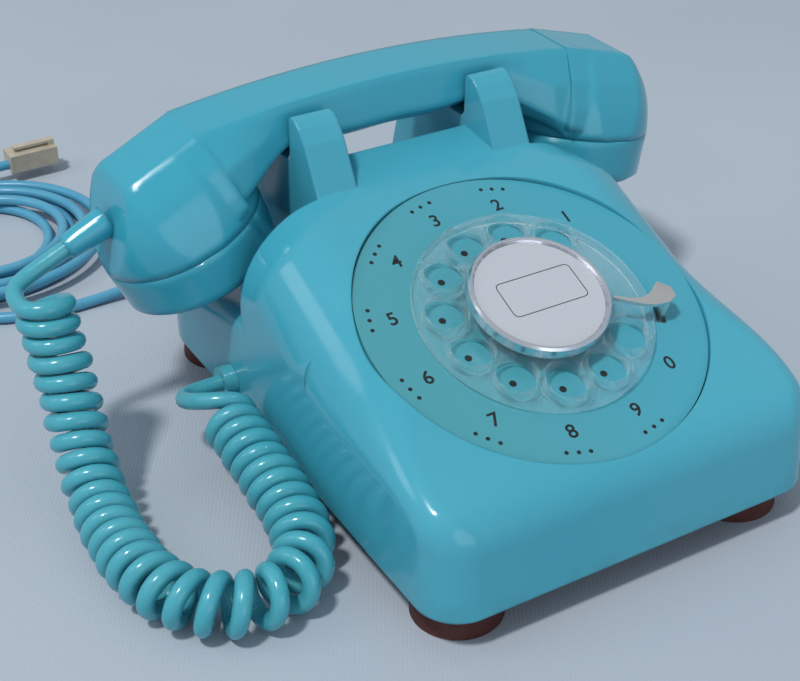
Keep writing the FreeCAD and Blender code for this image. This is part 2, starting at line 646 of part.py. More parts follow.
node("governor_weights", on_dial(cut("weights_body", weights, weight_bore)))

frame_disc = rod("frame_disc", S.frame_radius, S.frame_thick, 0, 0, frame_back)
frame_bore = rod("frame_bore", S.shaft_radius + S.shaft_fit, 6, 0, 0, frame_back - 2)
frame_pulse_bore = rod("frame_pulse_bore", S.pulse_shaft_radius + S.shaft_fit, 6, pulse_x, 0, frame_back - 2)
node("dial_frame", on_dial(cut("frame_body", frame_disc, frame_bore, frame_pulse_bore)))
back_disc = rod("back_disc", S.back_plate_radius, S.frame_thick, 0, 0, plate_front - S.frame_thick)
back_bore = rod("back_bore", S.shaft_radius + S.shaft_fit, 6, 0, 0, plate_front - 4)
back_pulse_bore = rod("back_pulse_bore", S.pulse_shaft_radius + S.shaft_fit, 6, pulse_x, 0, plate_front - 4)
node("dial_back_plate", on_dial(cut("back_body", back_disc, back_bore, back_pulse_bore)))
pillars = []
for number in range(3):
    turn = math.radians(60 + 120 * number)
    pillars.append(rod("pillar_%d" % number, S.pillar_radius, S.mech_depth, S.pillar_circle * math.cos(turn),
                       S.pillar_circle * math.sin(turn), plate_front))
node("dial_pillars", on_dial(group("pillar_group", *pillars)))
barrel = cut("barrel_body", rod("barrel_drum", S.barrel_radius, S.barrel_height, 0, 0, plate_front),
             rod("barrel_bore", S.shaft_radius + S.shaft_fit, 8, 0, 0, plate_front - 1))
node("return_spring_barrel", on_dial(barrel))
cup_outer = S.weight_radius + S.governor_gap + 1
governor_cup = cut("governor_cup_body", rod("governor_drum", cup_outer, 6, pulse_x, 0, plate_front),
                   rod("governor_hollow", S.weight_radius + S.governor_gap, 8, pulse_x, 0, plate_front - 1))
node("governor_cup", on_dial(governor_cup))
leaf_x = pulse_x + S.cam_radius + 0.6
leaf_block = box("leaf_block", 5, 5, S.cam_depth + 1, leaf_x - 1, 9, cam_z - 1)
leaves = [box("leaf_%d" % number, 0.5, 22, S.cam_thick, leaf_x + 1.2 * number, -8, cam_z)
          for number in range(3)]
node("dial_contact_springs", on_dial(fuse("leaf_body", leaf_block, *leaves)))

top_front = dial_point(0, -24, frame_back.value)
top_rear = dial_point(0, 24, frame_back.value)
cheek = [(top_front.y, top_front.z), (top_front.y + 5, deck_z), (top_rear.y - 6, deck_z),
         (top_rear.y, top_rear.z)]
cheek_left = slab("cheek_left", cheek, "yz", S.bracket_thick, -S.bracket_x)
cheek_right = slab("cheek_right", cheek, "yz", S.bracket_thick, S.bracket_x - S.bracket_thick)
bridge = box("bracket_bridge", 2 * S.bracket_x, top_rear.y - top_front.y - 11, S.bracket_thick, -S.bracket_x,
             top_front.y + 5, deck_z)
node("dial_bracket", fuse("bracket_body", cheek_left, cheek_right, bridge))


# Hook switch: two plungers that rest on a forked lever.

plunger_low = S.lever_z + S.lever_half_height + S.plunger_rest
for side, label in ((-1, "left"), (1, "right")):
    top = saddle_z + S.plunger_proud
    node("plunger_" + label, rod("plunger_body_" + label, S.plunger_radius, top - plunger_low,
                                 side * S.plunger_x, S.handset_y, plunger_low))
lever_pin = rod("lever_pin", S.pin_radius, 2 * S.plunger_x, -S.plunger_x, lever_y, S.lever_z, "x")
arm_reach = lever_y - S.handset_y + 2.5
arms = [box("lever_arm_" + label, 3, arm_reach + 2, 2 * S.lever_half_height, side * S.plunger_x - 1.5,
            lever_y - arm_reach, S.lever_z - S.lever_half_height)
        for side, label in ((-1, "left"), (1, "right"))]
node("hook_lever", fuse("lever_body", lever_pin, *arms))
switch_y = lever_y - S.switch_depth / 2
upright_rise = S.lever_z + S.switch_head - deck_z
uprights = [box("upright_%s" % label, S.switch_sheet, S.switch_depth, upright_rise, x, switch_y, deck_z)
            for label, x in (("left", -S.switch_half_width), ("right", S.switch_half_width - S.switch_sheet))]
switch_foot = box("switch_foot", 2 * S.switch_half_width, S.switch_depth, S.plate_thick, -S.switch_half_width,
                  switch_y, deck_z)
bore_reach = S.switch_half_width + 8
switch_bore = rod("switch_bore", S.pin_radius + S.shaft_fit, 2 * bore_reach, -bore_reach, lever_y,
                  S.lever_z, "x")
node("line_switch_frame", cut("switch_body", fuse("switch_solid", switch_foot, *uprights), switch_bore))
contact_z = deck_z + S.plate_thick
contact_block = box("contact_block", S.contact_width, S.contact_depth, S.contact_height, -S.contact_width / 2,
                    lever_y - S.contact_depth / 2, contact_z)
contacts = [box("contact_%d" % number, 0.5, S.contact_depth / 2, S.contact_height + 8,
                S.contact_width * (number / 4 - 0.375), lever_y - S.contact_depth / 4,
                contact_z + S.contact_height - 0.5)
            for number in range(4)]
node("line_switch_contacts", fuse("contact_body", contact_block, *contacts))


# Ringer: coil and clapper between two gongs.

gong_low = S.gong_top_z - S.gong_height
gong_wall = S.gong_wall
gong_seat = S.gong_post_radius + 1
gong_bore = S.gong_screw_radius + S.shaft_fit
for label, y in (("front", gong_front_y), ("rear", gong_rear_y)):
    gong = turned("gong_%s_body" % label, [
        (gong_bore, S.gong_top_z), (gong_seat, S.gong_top_z), (S.gong_radius - 6, S.gong_top_z - 0.5),
        (S.gong_radius - 1.2, S.gong_top_z - 4),
        (S.gong_radius, gong_low), (S.gong_radius - gong_wall, gong_low),
        (S.gong_radius - gong_wall - 1.2, S.gong_top_z - 4.8), (S.gong_radius - 6.8, S.gong_top_z - 2.1),
        (gong_seat, S.gong_top_z - gong_wall), (gong_bore, S.gong_top_z - gong_wall)])
    node("gong_" + label, put(gong, gong_x, y, 0))
posts = []
gong_screws = []
for label, y in (("front", gong_front_y), ("rear", gong_rear_y)):
    post_top = S.gong_top_z - gong_wall
    posts.append(rod("gong_post_" + label, S.gong_post_radius, post_top - deck_z, gong_x, y, deck_z))
    screw_head = rod("gong_screw_head_" + label, S.gong_screw_head, 1.4, gong_x, y, S.gong_top_z)
    screw_shank = rod("gong_screw_shank_" + label, S.gong_screw_radius, gong_wall + 0.5, gong_x, y, post_top)
    gong_screws.append(fuse("gong_screw_" + label, screw_head, screw_shank))
node("gong_posts", group("gong_post_group", *posts))
node("gong_screws", group("gong_screw_group", *gong_screws))

mid_y = (gong_front_y + gong_rear_y) / 2
coil_start = mid_y - S.coil_length / 2
yoke_x = coil_x - S.yoke_half_width
yoke_sheet = S.yoke_sheet
yoke_foot = box("yoke_foot", clapper_x + 4 - yoke_x, S.coil_length + 2 * yoke_sheet, yoke_sheet, yoke_x,
                coil_start - yoke_sheet, deck_z)
yoke_ends = [box("yoke_%s" % label, 2 * S.yoke_half_width, yoke_sheet, S.yoke_height, yoke_x, y, deck_z)
             for label, y in (("front", coil_start - yoke_sheet), ("rear", coil_start + S.coil_length))]
clapper_pin = rod("clapper_pin", S.pin_radius, 16, clapper_x, mid_y, deck_z)
node("ringer_frame", fuse("yoke_body", yoke_foot, clapper_pin, *yoke_ends))
node("ringer_coil", rod("coil_body", S.coil_radius, S.coil_length, coil_x, coil_start, S.coil_z, "y"))
arm_z = gong_low + 3
hub = rod("clapper_hub", 3, 6, clapper_x, mid_y, arm_z - 1.5)
clapper_arm = box("clapper_arm", gong_x - clapper_x, 1.4, 1.6, clapper_x, mid_y - 0.7, arm_z)
ball = doc.addObject("Part::Sphere", "clapper_ball")
bind(ball, "Radius", S.clapper_ball_radius)
put(ball, gong_x, mid_y, arm_z + 0.8)
clapper_bore = rod("clapper_bore", S.pin_radius + S.shaft_fit, 12, clapper_x, mid_y, arm_z - 4)
node("clapper", cut("clapper_body", fuse("clapper_solid", hub, clapper_arm, ball), clapper_bore))

volume_low = floor_z - 4
volume_disc = rod("volume_disc", S.volume_radius, 3.6, volume_x, S.volume_y, volume_low)
volume_pin = rod("volume_pin", S.pin_radius, 9, volume_x, S.volume_y, volume_low)
notches = []
for number in range(12):
    turn = math.radians(30 * number)
    notches.append(rod("notch_%d" % number, 1.2, 6, volume_x + S.volume_radius * math.cos(turn),
                       S.volume_y + S.volume_radius * math.sin(turn), volume_low - 1))
node("volume_wheel", cut("volume_body", fuse("volume_solid", volume_disc, volume_pin), *notches))


# Speech network with its terminal screws.

node("network_block", box("network_body", S.network_length, S.network_width, S.network_height, network_x,
                          S.network_y, deck_z))
terminals = []
for row in range(2):
    for place in range(6):
        x = network_x + 6 + row * (S.network_length - 12)
        y = S.network_y + 5 + place * (S.network_width - 10) / 5
        terminals.append(rod("terminal_%d_%d" % (row, place), S.terminal_radius, S.terminal_height, x, y,
                             deck_z + S.network_height))
node("network_terminals", group("terminal_group", *terminals))


# Handset: an arched handle with two domed ends, screw caps and capsules inside.

ENDS = [(-1, "transmitter", S.transmitter_offset, S.transmitter_seam_z, S.transmitter_tilt),
        (1, "receiver", S.receiver_offset, S.receiver_seam_z, S.receiver_tilt)]


def on_cap(obj, end):
    """Moves a piece from the frame of a cap's seam to its end of the handset."""
    side, label, offset, seam_z, tilt = end
    tilted = put(obj, 0, 0, 0, (0, 1, 0), side * tilt)
    return put(group(obj.Name + "_leant", tilted), side * offset, S.handset_y, seam_z, (1, 0, 0), -S.cap_lean)


def on_end(tag, obj, end, height=0, fall=0):
    """Like on_cap, but upright across the handset, and raised or fallen from the seam."""
    side, label, offset, seam_z, tilt = end
    across = side * (offset + height * sine(tilt))
    return put(group(tag, obj), across, S.handset_y, seam_z + height * cosine(tilt), (0, 1, 0),
               side * (tilt + fall))


def handle_section(tag, x, widths, heights):
    """Half a dozen corners on each side of the handle's middle, from the top facet to the underside."""
    y = S.handset_y
    near = [(y - width, height) for width, height in zip(widths, heights)]
    far = [(y + width, height) for width, height in zip(widths, heights)]
    return put(outline(tag, far + near[::-1], "yz"), x, 0, 0, (1, 1, 1), 120)


# Each station of the handle: distance from its middle, then how far its side bulges, its side edge and its
# underside have grown wider, and its side edge and its underside have dropped.
STATIONS = [(0, 0.2, 0, 0, 0, 0), (21, 0.2, 0, 0, 0, 0), (42, 0.2, 0, 0, 0, 0), (49, 0.8, 2.2, 3.0, 3.0, 3.4),
            (56, 1.6, 5.2, 7.4, 6.5, 6.0), (64, 2.4, 8.0, 12.0, 10.5, 10.0),
            (72.5, 1.0, 9.8, 14.0, 13.0, 13.0)]
stations = [(-x, *growth) for x, *growth in reversed(STATIONS[1:])] + STATIONS
sections = []
for number, (x, bulge, wider, base_wider, edge_drop, base_drop) in enumerate(stations):
    drop = arch(size(x))
    top = S.handle_top_z - drop
    edge = top - S.handle_side_drop - edge_drop
    half = S.handle_half_width + wider
    widths = [S.handle_facet, (S.handle_facet + half) / 2 + bulge, half, S.handle_base + base_wider]
    heights = [top, (top + edge) / 2 + bulge / 2, edge, S.handle_low_z - drop - base_drop]
    sections.append(handle_section("handle_section_%d" % number, size(x), widths, heights))
handle_bar = doc.addObject("Part::Loft", "handle_bar")
handle_bar.Sections = sections
handle_bar.Solid = True
handle_bar.Ruled = False

# The handle's facets run out over the domed ends: the sides fall away from the top facet in soft steps,
# a core carries them into the end, and a nearly flat face closes it.
SIDE_STEPS = [(S.handle_facet, 0, 2.5), (S.handle_facet + 8.5, -9, 26), (S.handle_facet + 14, -19, 40),
              (S.cap_radius + 1.5, -34, 20)]
CLOSING_STEPS = [(12, S.bell_facet_height - 1.5, 7), (20.8, S.bell_facet_height / 2 - 0.2, 40)]
CORE_SIDE = [(S.handle_facet - 0.3, -0.05), (S.handle_facet + 7.5, -9.5), (S.handle_facet + 12, -19),
             (S.handle_facet + 13.5, -26)]
core_corners = CORE_SIDE + [(-y, z) for y, z in reversed(CORE_SIDE)]
side_half = [(y, z) for y, z, soft in SIDE_STEPS] + [(S.cap_radius + 1.5, -80)]
end_room = S.cap_radius + 13.5
side_corners = side_half + [(-y, z) for y, z in reversed(side_half)]
bells = []
bores = []
for end in ENDS:
    side, label = end[:2]
    dome = doc.addObject("Part::Ellipsoid", label + "_dome")
    bind(dome, "Radius1", S.bell_height)
    bind(dome, "Radius2", S.cap_radius)
    bind(dome, "Radius3", S.cap_radius)
    dome.Angle1 = 0
    wedge = slab(label + "_wedge", side_corners, "yz", 160, -80)
    creases = []
    for y, z, soft in SIDE_STEPS:
        creases += [((0, way * y.value, z), soft, soft) for way in (-1, 1)]
    wedge = on_end(label + "_wedge_set", rounded(label + "_wedge_soft", wedge, creases), end,
                   S.bell_facet_height, S.bell_facet_fall)
    closing = [(side * size(u), v) for u, v, soft in CLOSING_STEPS]
    closing = [(-60 * side, 43)] + closing + [(side * (S.cap_radius + 0.6), -0.5),
                                             (side * (S.cap_radius + 0.6), -40), (-60 * side, -40)]
    closing = slab(label + "_closing", closing, "xz", 2 * end_room, -end_room)
    creases = [((side * u, 0, v.value), soft, soft) for u, v, soft in CLOSING_STEPS]
    closing = on_end(label + "_closing_set", rounded(label + "_closing_soft", closing, creases), end)
    bell = common(label + "_bell_sides", on_cap(group(label + "_dome_set", dome), end), wedge)
    bells.append(common(label + "_bell", bell, closing))
    tilt = end[4]
    core_span = end[2] + S.bell_facet_height * sine(tilt) - 72
    core_length = core_span / cosine(tilt + S.bell_facet_fall)
    core = slab(label + "_core", core_corners, "yz", core_length, -core_length * (1 + side) / 2)
    bells.append(on_end(label + "_core_set", core, end, S.bell_facet_height, S.bell_facet_fall))
    bore = rod(label + "_bore", S.cup_bore, S.cup_bore_depth + 1, 0, 0, -1)
    seam = rod(label + "_seam", S.cap_radius + 4, 30, 0, 0, -30)
    bores.append(on_cap(group(label + "_bore_set", bore, seam), end))
handle_form = fuse("handle_form", handle_bar, *bells)

BUSHING_AT = Vector(-101.0, 55.4, 80.0)
BUSHING_TOWARDS = Vector(-0.93, -0.05, -0.37).normalize()
bushing = cone("bushing_cone", S.bushing_radius, S.bushing_tip_radius, S.bushing_length)
bushing_turn = Rotation(Vector(0, 0, 1), BUSHING_TOWARDS)
bushing.Placement = Placement(BUSHING_AT, bushing_turn)
for prop in ("x", "y", "z"):
    bushing.setExpression("Placement.Base." + prop, None)
node("handset_cord_bushing", bushing)
node("handset_handle", cut("handle_body", handle_form, *bores, bushing))

cap_inner = S.cap_radius - S.cap_wall
for end, holes in zip(ENDS, (8, 6)):
    label = end[1]
    low = -S.cap_depth
    floor = low + S.cap_floor
    shape = turned(label + "_cap_turned", [
        (0, low), (S.cap_face_radius, low), (S.cap_face_radius + 2.4, low + 2), (S.cap_radius, -S.cap_groove),
        (S.cap_radius - S.cap_groove, 0), (cap_inner, 0), (cap_inner, -3),
        (S.cap_face_radius - 0.4, floor + 1), (S.cap_face_radius - 1, floor), (0, floor)])
    drills = [rod(label + "_cap_hole_mid", S.cap_hole_radius, S.cap_floor + 2, 0, 0, low - 1)]
    for number in range(holes):
        turn = 2 * math.pi * number / holes
        drills.append(rod("%s_cap_hole_%d" % (label, number), S.cap_hole_radius, S.cap_floor + 2,
                          S.cap_hole_circle * math.cos(turn), S.cap_hole_circle * math.sin(turn), low - 1))
    node(label + "_cap", on_cap(cut(label + "_cap_body", shape, *drills), end))
    capsule = rod(label + "_capsule_body", S.capsule_radius, S.capsule_top - floor, 0, 0, floor)
    node(label + "_capsule", on_cap(group(label + "_capsule_set", capsule), end))
cup_height = S.cup_bore_depth - S.capsule_top
cup_tube = cut("cup_tube", rod("cup_drum", S.cup_bore - 0.2, cup_height, 0, 0, S.capsule_top),
               rod("cup_hollow", S.cup_bore - 3, cup_height, 0, 0, S.capsule_top - 3))
node("transmitter_cup", on_cap(cup_tube, ENDS[0]))


# Cord entries.

grommet_start = -S.housing_half_width - S.grommet_proud
grommet_length = S.grommet_proud + S.wall_thick + 2
node("handset_cord_grommet", rod("grommet_body", S.grommet_radius, grommet_length, grommet_start, S.grommet_y,
                                 S.grommet_z, "x"))
line_exit_y = S.housing_half_depth - S.wall_thick - 2
line_exit_length = S.wall_thick + 6
node("line_cord_grommet", rod("line_grommet_body", S.line_exit_radius, line_exit_length, line_exit_x,
                              line_exit_y, S.line_exit_z, "y"))


# Cords.

def biarc(start, start_way, end, end_way):
    """Two arcs that leave one point and reach another along given directions."""
    span = end - start
    both = start_way + end_way
    bend = 2 * (1 - start_way.dot(end_way))
    reach = span.dot(both)
    if bend < 1e-9:
        arm = span.dot(span) / (2 * reach)
    else:
        arm = (-reach + math.sqrt(reach * reach + bend * span.dot(span))) / bend
    near, far = start + start_way * arm, end - end_way * arm
    joint = (near + far) * 0.5
    return [arc_between(start, near, joint), arc_between(joint, far, end)]


def arc_between(start, apex, end):
    middle = (start + end) * 0.5
    rise = apex - middle
    half = (end - start).Length / 2
    if rise.Length < 1e-6 * half:
        return Part.LineSegment(start, end)
    swing = math.atan2(rise.Length, half)
    return Part.Arc(start, middle + rise.normalize() * (half * math.tan(swing / 2)), end)


def smallest_radius(curves):
    return min(curve.toShape().Curve.Radius for curve in curves if not isinstance(curve, Part.LineSegment))


def tube(curves, radius):
    edges = [curve.toShape() for curve in curves]
    path = Part.Wire(edges)
    start = curves[0].value(curves[0].FirstParameter)
    way = Vector(*curves[0].tangent(curves[0].FirstParameter)[0])
    ring = Part.Wire([Part.Circle(start, way, radius).toShape()])
    return path.makePipeShell([ring], True, False), path.Length


def least_gap(points, skip, diameter):
    """Smallest free distance between parts of one tube that lie apart along it."""
    best = 1e9
    for i, first in enumerate(points):
        for second in points[i + skip:]:
            away = (first - second).Length
            if away < best:
                best = away
    return best - diameter


def frames_along(curve, count):
    """Points, directions and untwisted normals at even steps along a curve."""
    spots = curve.discretize(count)
    ways = [Vector(*curve.tangent(curve.parameter(spot))[0]) for spot in spots]
    normal = Vector(-1, 0, 0)
    normals = []
    for way in ways:
        normal = normal - way * normal.dot(way)
        normal.normalize()
        normals.append(Vector(normal))
    return spots, ways, normals


# Middle line of the curls, from the handset down to the table and back to the telephone.
CURLY_ROUTE = [Vector(-133, 42, 62), Vector(-132, 38, 45), Vector(-131, 34, 30),
               Vector(-131.5, 26, 17), Vector(-132.5, 10, 10), Vector(-132.5, -10, 9.1),
               Vector(-131, -31, 9.1),
               Vector(-124, -50, 9.1), Vector(-111, -60, 9.1), Vector(-96, -58, 9.1), Vector(-85.5, -46, 9.1),
               Vector(-82, -28, 9.1), Vector(-81.5, -10, 9.1), Vector(-81.5, 8, 9.1)]


def curly_cord():
    radius = S.curl_radius.value
    wire = S.curl_tube_radius.value
    axis = Part.BSplineCurve()
    axis.interpolate(CURLY_ROUTE)
    steps = 1200
    spots, ways, normals = frames_along(axis, steps)
    rates = []
    for i in range(steps - 1):
        step = (spots[i + 1] - spots[i]).Length
        turn = ways[i].getAngle(ways[i + 1])
        rates.append(max(step - radius * turn, 0.3 * step))
    full = sum(rates)
    turns = S.curl_count.value
    phases = [0.0]
    for rate in rates:
        phases.append(phases[-1] + 2 * math.pi * turns * rate / full)

    def helix(i):
        side = ways[i].cross(normals[i])
        return spots[i] + (normals[i] * math.cos(phases[i]) - side * math.sin(phases[i])) * radius

    points = [helix(i) for i in range(steps)]
    marks = []
    goal = 0.0
    for i in range(steps):
        if phases[i] >= goal - 1e-9:
            marks.append(i)
            goal += math.pi / 2
    if marks[-1] != steps - 1:
        marks[-1] = steps - 1
    knots = []
    for i in marks:
        ahead, behind = points[min(i + 1, steps - 1)], points[max(i - 1, 0)]
        knots.append((points[i], (ahead - behind).normalize()))

    stub = 2 * wire
    plug_end = BUSHING_AT + BUSHING_TOWARDS * S.bushing_length.value
    tail = plug_end + BUSHING_TOWARDS * stub
    home = Vector(grommet_start.value, S.grommet_y.value, S.grommet_z.value)
    inward = Vector(1, 0, 0)
    curves = [Part.LineSegment(plug_end, tail)]
    curves += biarc(tail, BUSHING_TOWARDS, *knots[0])
    for first, second in zip(knots, knots[1:]):
        curves += biarc(*first, *second)
    curves += biarc(*knots[-1], home - inward * stub, inward)
    curves.append(Part.LineSegment(home - inward * stub, home))
    shape, length = tube(curves, wire)
    samples = points[::4]
    per_turn = int(len(samples) / turns)
    print("curly cord: length %.0f, least radius %.2f, least gap %.2f" % (
        length, smallest_radius(curves), least_gap(samples, per_turn // 2, 2 * wire)))
    print("  end radii %.1f %.1f, volume ratio %.4f" % (
        smallest_radius(curves[1:3]), smallest_radius(curves[-3:-1]),
        shape.Volume / (math.pi * wire ** 2 * length)))
    return shape


node("handset_cord", fixed("handset_cord_body", curly_cord()))


def tangent_runs(points):
    """Straight runs joined by tangent arcs."""
    curves = []
    start = points[0]
    for before, corner, after in zip(points, points[1:], points[2:]):
        back, ahead = before - corner, after - corner
        turn = math.pi - back.getAngle(ahead)
        trim = 0.45 * min(back.Length, ahead.Length)
        first = corner + back.normalize() * trim
        last = corner + ahead.normalize() * trim
        curves.append(Part.LineSegment(start, first))
        curves.append(arc_between(first, corner, last))
        print("  bend radius %.1f" % (trim / math.tan(turn / 2)))
        start = last
    curves.append(Part.LineSegment(start, points[-1]))
    return curves


def hank_knots():
    """Quarter-turn points of a hank that spirals in on the table and out again one layer up."""
    quarter = math.pi / 2
    turns = int(S.hank_turns.value)
    steps = 4 * turns
    drop = S.hank_pitch.value / 4
    low = S.line_radius.value
    places = []
    for i in range(steps + 1):
        places.append((i, S.hank_radius.value - drop * i, low))
    inner = S.hank_radius.value - drop * steps
    places.append((steps + 1, inner - drop * 0.6, low + S.hank_layer.value / 2))
    for i in [*range(steps), steps - 0.5]:
        places.append((steps + 2 + i, inner + drop * i, low + S.hank_layer.value))
    start = math.radians(S.hank_start_deg.value)
    centre = Vector(S.hank_x.value, S.hank_y.value, 0)
    spots = []
    for i, radius, z in places:
        angle = start - quarter * i
        spots.append(centre + Vector(radius * math.cos(angle), radius * math.sin(angle), z))
    knots = []
    for i, spot in enumerate(spots):
        angle = start - quarter * places[i][0]
        around = Vector(math.sin(angle), -math.cos(angle), 0)
        before, after = places[max(i - 1, 0)], places[min(i + 1, len(places) - 1)]
        grow = (after[1] - before[1]) / ((after[0] - before[0]) * quarter)
        climb = (after[2] - before[2]) / ((after[0] - before[0]) * quarter)
        if i in (0, len(spots) - 1):
            climb = 0
        outward = Vector(math.cos(angle), math.sin(angle), 0)
        way = around * places[i][1] + outward * grow + Vector(0, 0, climb)
        knots.append((spot, way.normalize()))
    return knots


def hank():
    wire = S.line_radius.value
    knots = hank_knots()
    curves = []
    for first, second in zip(knots, knots[1:]):
        curves += biarc(*first, *second)
    spot, way = knots[-1]
    tail = spot + way * S.hank_tail.value
    curves.append(Part.LineSegment(spot, tail))
    shape, length = tube(curves, wire)
    samples = []
    for curve in curves:
        for share in range(12):
            span = curve.LastParameter - curve.FirstParameter
            samples.append(curve.value(curve.FirstParameter + span * share / 12))
    print("hank: length %.0f, least radius %.1f, least gap %.2f, volume ratio %.4f" % (
        length, smallest_radius(curves), least_gap(samples, 30, 2 * wire),
        shape.Volume / (math.pi * wire ** 2 * length)))
    return shape, knots[0], (tail, way)


hank_shape, hank_in, hank_out = hank()
node("line_cord_coil", fixed("hank_body", hank_shape))

line_floor = S.line_radius.value
line_start = Vector(line_exit_x.value, line_exit_y.value + line_exit_length.value, S.line_exit_z.value)
entry, entry_way = hank_in
LINE_ROUTE = [line_start, line_start + Vector(0, 13, 0), Vector(-55, 136, 6), Vector(-76, 137.2, line_floor),
              Vector(-104, 136.2, line_floor), entry - entry_way * 25, entry]
line_curves = tangent_runs(LINE_ROUTE)
line_shape, line_length = tube(line_curves, line_floor)
print("line cord: length %.0f, volume ratio %.4f" % (
    line_length, line_shape.Volume / (math.pi * line_floor ** 2 * line_length)))
node("line_cord", fixed("line_cord_body", line_shape))

# The plug at the cord's free end, with its latch standing off the top.
leave, leave_way = hank_out
plug_wide, plug_high = S.plug_width, S.plug_height
plug_low = -S.line_radius - 0.15
plug_top = plug_low + plug_high
plug_shell = box("plug_shell", S.plug_length, plug_wide, plug_high, 0, -plug_wide / 2, plug_low)
latch_root = box("latch_root", 3, S.latch_width, S.latch_rise, S.plug_length - 3, -S.latch_width / 2,
                 plug_top)
latch_blade = box("latch_blade", S.plug_length - 3, S.latch_width, S.latch_thick, 3, -S.latch_width / 2,
                  plug_top + S.latch_rise - S.latch_thick)
plug = fuse("plug_body", plug_shell, latch_root, latch_blade)
plug.Placement = Placement(leave, Rotation(Vector(1, 0, 0), leave_way))
node("line_plug", plug)


# Check and write.

doc.recompute()
os.makedirs("parts", exist_ok=True)
for obj in NODES:
    if "Invalid" in obj.State or "Error" in obj.State or obj.Shape.isNull() or not obj.Shape.isValid():
        raise RuntimeError("%s is not a valid shape: %s" % (obj.Label, obj.State))
    shape = obj.Shape.copy()
    shape.translate(Vector(-S.origin_shift.value, 0, 0))
    shape.exportStep("parts/%s.step" % obj.Label)
    bounds = shape.BoundBox
    print("%-24s %9.1f mm3  x %.1f..%.1f  y %.1f..%.1f  z %.1f..%.1f" % (
        obj.Label, obj.Shape.Volume, bounds.XMin, bounds.XMax, bounds.YMin, bounds.YMax, bounds.ZMin,
        bounds.ZMax))
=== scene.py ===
import bmesh
import bpy
import json
import math
from mathutils import Matrix, Vector


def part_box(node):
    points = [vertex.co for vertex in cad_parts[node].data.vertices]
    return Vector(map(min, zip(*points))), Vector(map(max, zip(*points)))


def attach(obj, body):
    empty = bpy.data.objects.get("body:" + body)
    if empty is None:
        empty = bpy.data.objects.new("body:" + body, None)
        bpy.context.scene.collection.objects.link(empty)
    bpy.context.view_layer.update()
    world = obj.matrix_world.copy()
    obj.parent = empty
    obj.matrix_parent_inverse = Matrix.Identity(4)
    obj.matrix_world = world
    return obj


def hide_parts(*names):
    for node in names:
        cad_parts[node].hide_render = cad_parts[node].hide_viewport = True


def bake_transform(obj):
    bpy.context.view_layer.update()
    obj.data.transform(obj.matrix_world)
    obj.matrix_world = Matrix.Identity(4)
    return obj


# Desk telephone with a finger-wheel dial: finishes, printing, cords, floor, light and camera.
# Metres. +X to the right of the user, +Y to the rear, +Z up.

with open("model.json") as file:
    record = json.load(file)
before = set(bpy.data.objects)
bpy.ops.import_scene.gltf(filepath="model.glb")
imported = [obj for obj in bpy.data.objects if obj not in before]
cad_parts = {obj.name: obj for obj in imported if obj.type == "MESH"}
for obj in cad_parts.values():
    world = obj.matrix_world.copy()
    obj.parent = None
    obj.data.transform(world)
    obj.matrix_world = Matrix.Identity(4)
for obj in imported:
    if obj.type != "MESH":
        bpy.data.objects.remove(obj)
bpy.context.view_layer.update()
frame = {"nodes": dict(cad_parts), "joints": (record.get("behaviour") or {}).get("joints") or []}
NODES = frame["nodes"]
MM = 0.001

# Routes below are in millimetres from the housing's middle, which lies beside the frame's origin.
housing_low, housing_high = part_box("housing")
HOUSING_MIDDLE = (housing_low[0] + housing_high[0]) / 2


def spot(x, y, z):
    return Vector((HOUSING_MIDDLE + x * MM, y * MM, z * MM))


def shown(name, data):
    """A new object in the scene."""
    obj = bpy.data.objects.new(name, data)
    bpy.context.scene.collection.objects.link(obj)
    return obj


def mesh_of(form, name):
    """The mesh of a finished form, which is given up."""
    mesh = bpy.data.meshes.new(name)
    form.to_mesh(mesh)
    form.free()
    return mesh


# Finishes.

# The part of a noise's range over which its patches come in.
FADING = (0.35, 0.68)
MOTTLE = (0.35, 0.7)
GRAIN = (0.3, 0.7)
PEAKS = (0.45, 0.75)

# Grime is full below the first height and gone above the second.
GRIME_FULL = 11 * MM
GRIME_END = 20 * MM

# The number plate is greenest left of the first place, and least green right of the second.
GREEN_FULL = -60 * MM
GREEN_END = 30 * MM
GREEN_LEAST = 0.15

# Clear pieces: how they bend and pass light, and how solid their faces and rims look; the white they show,
# faint on the faces and strongest at the rims, is partly real reflection and partly painted sheen and
# glint.
ACRYLIC_BEND = 1.49
ACRYLIC_PASS = 0.8
RIM_BLEND = 0.4
RIM_REACH = (0.3, 0.75)
FACE_SHARE = 0.35
RIM_GLINT_SHARE = 3

BEVEL_SAMPLES = 8
SCRATCH_STRETCH = (1, 7, 1)
BRUSH_STRETCH = (1, 1, 14)
METAL_WEAR = 0.28


def linear(red, green, blue):
    """A display colour, each channel from 0 to 255, as the shader takes it."""
    def channel(value):
        value /= 255
        return value / 12.92 if value <= 0.04045 else ((value + 0.055) / 1.055) ** 2.4
    return channel(red), channel(green), channel(blue), 1.0


def shade(colour, factor):
    return (*[min(1.0, channel * factor) for channel in colour[:3]], 1.0)


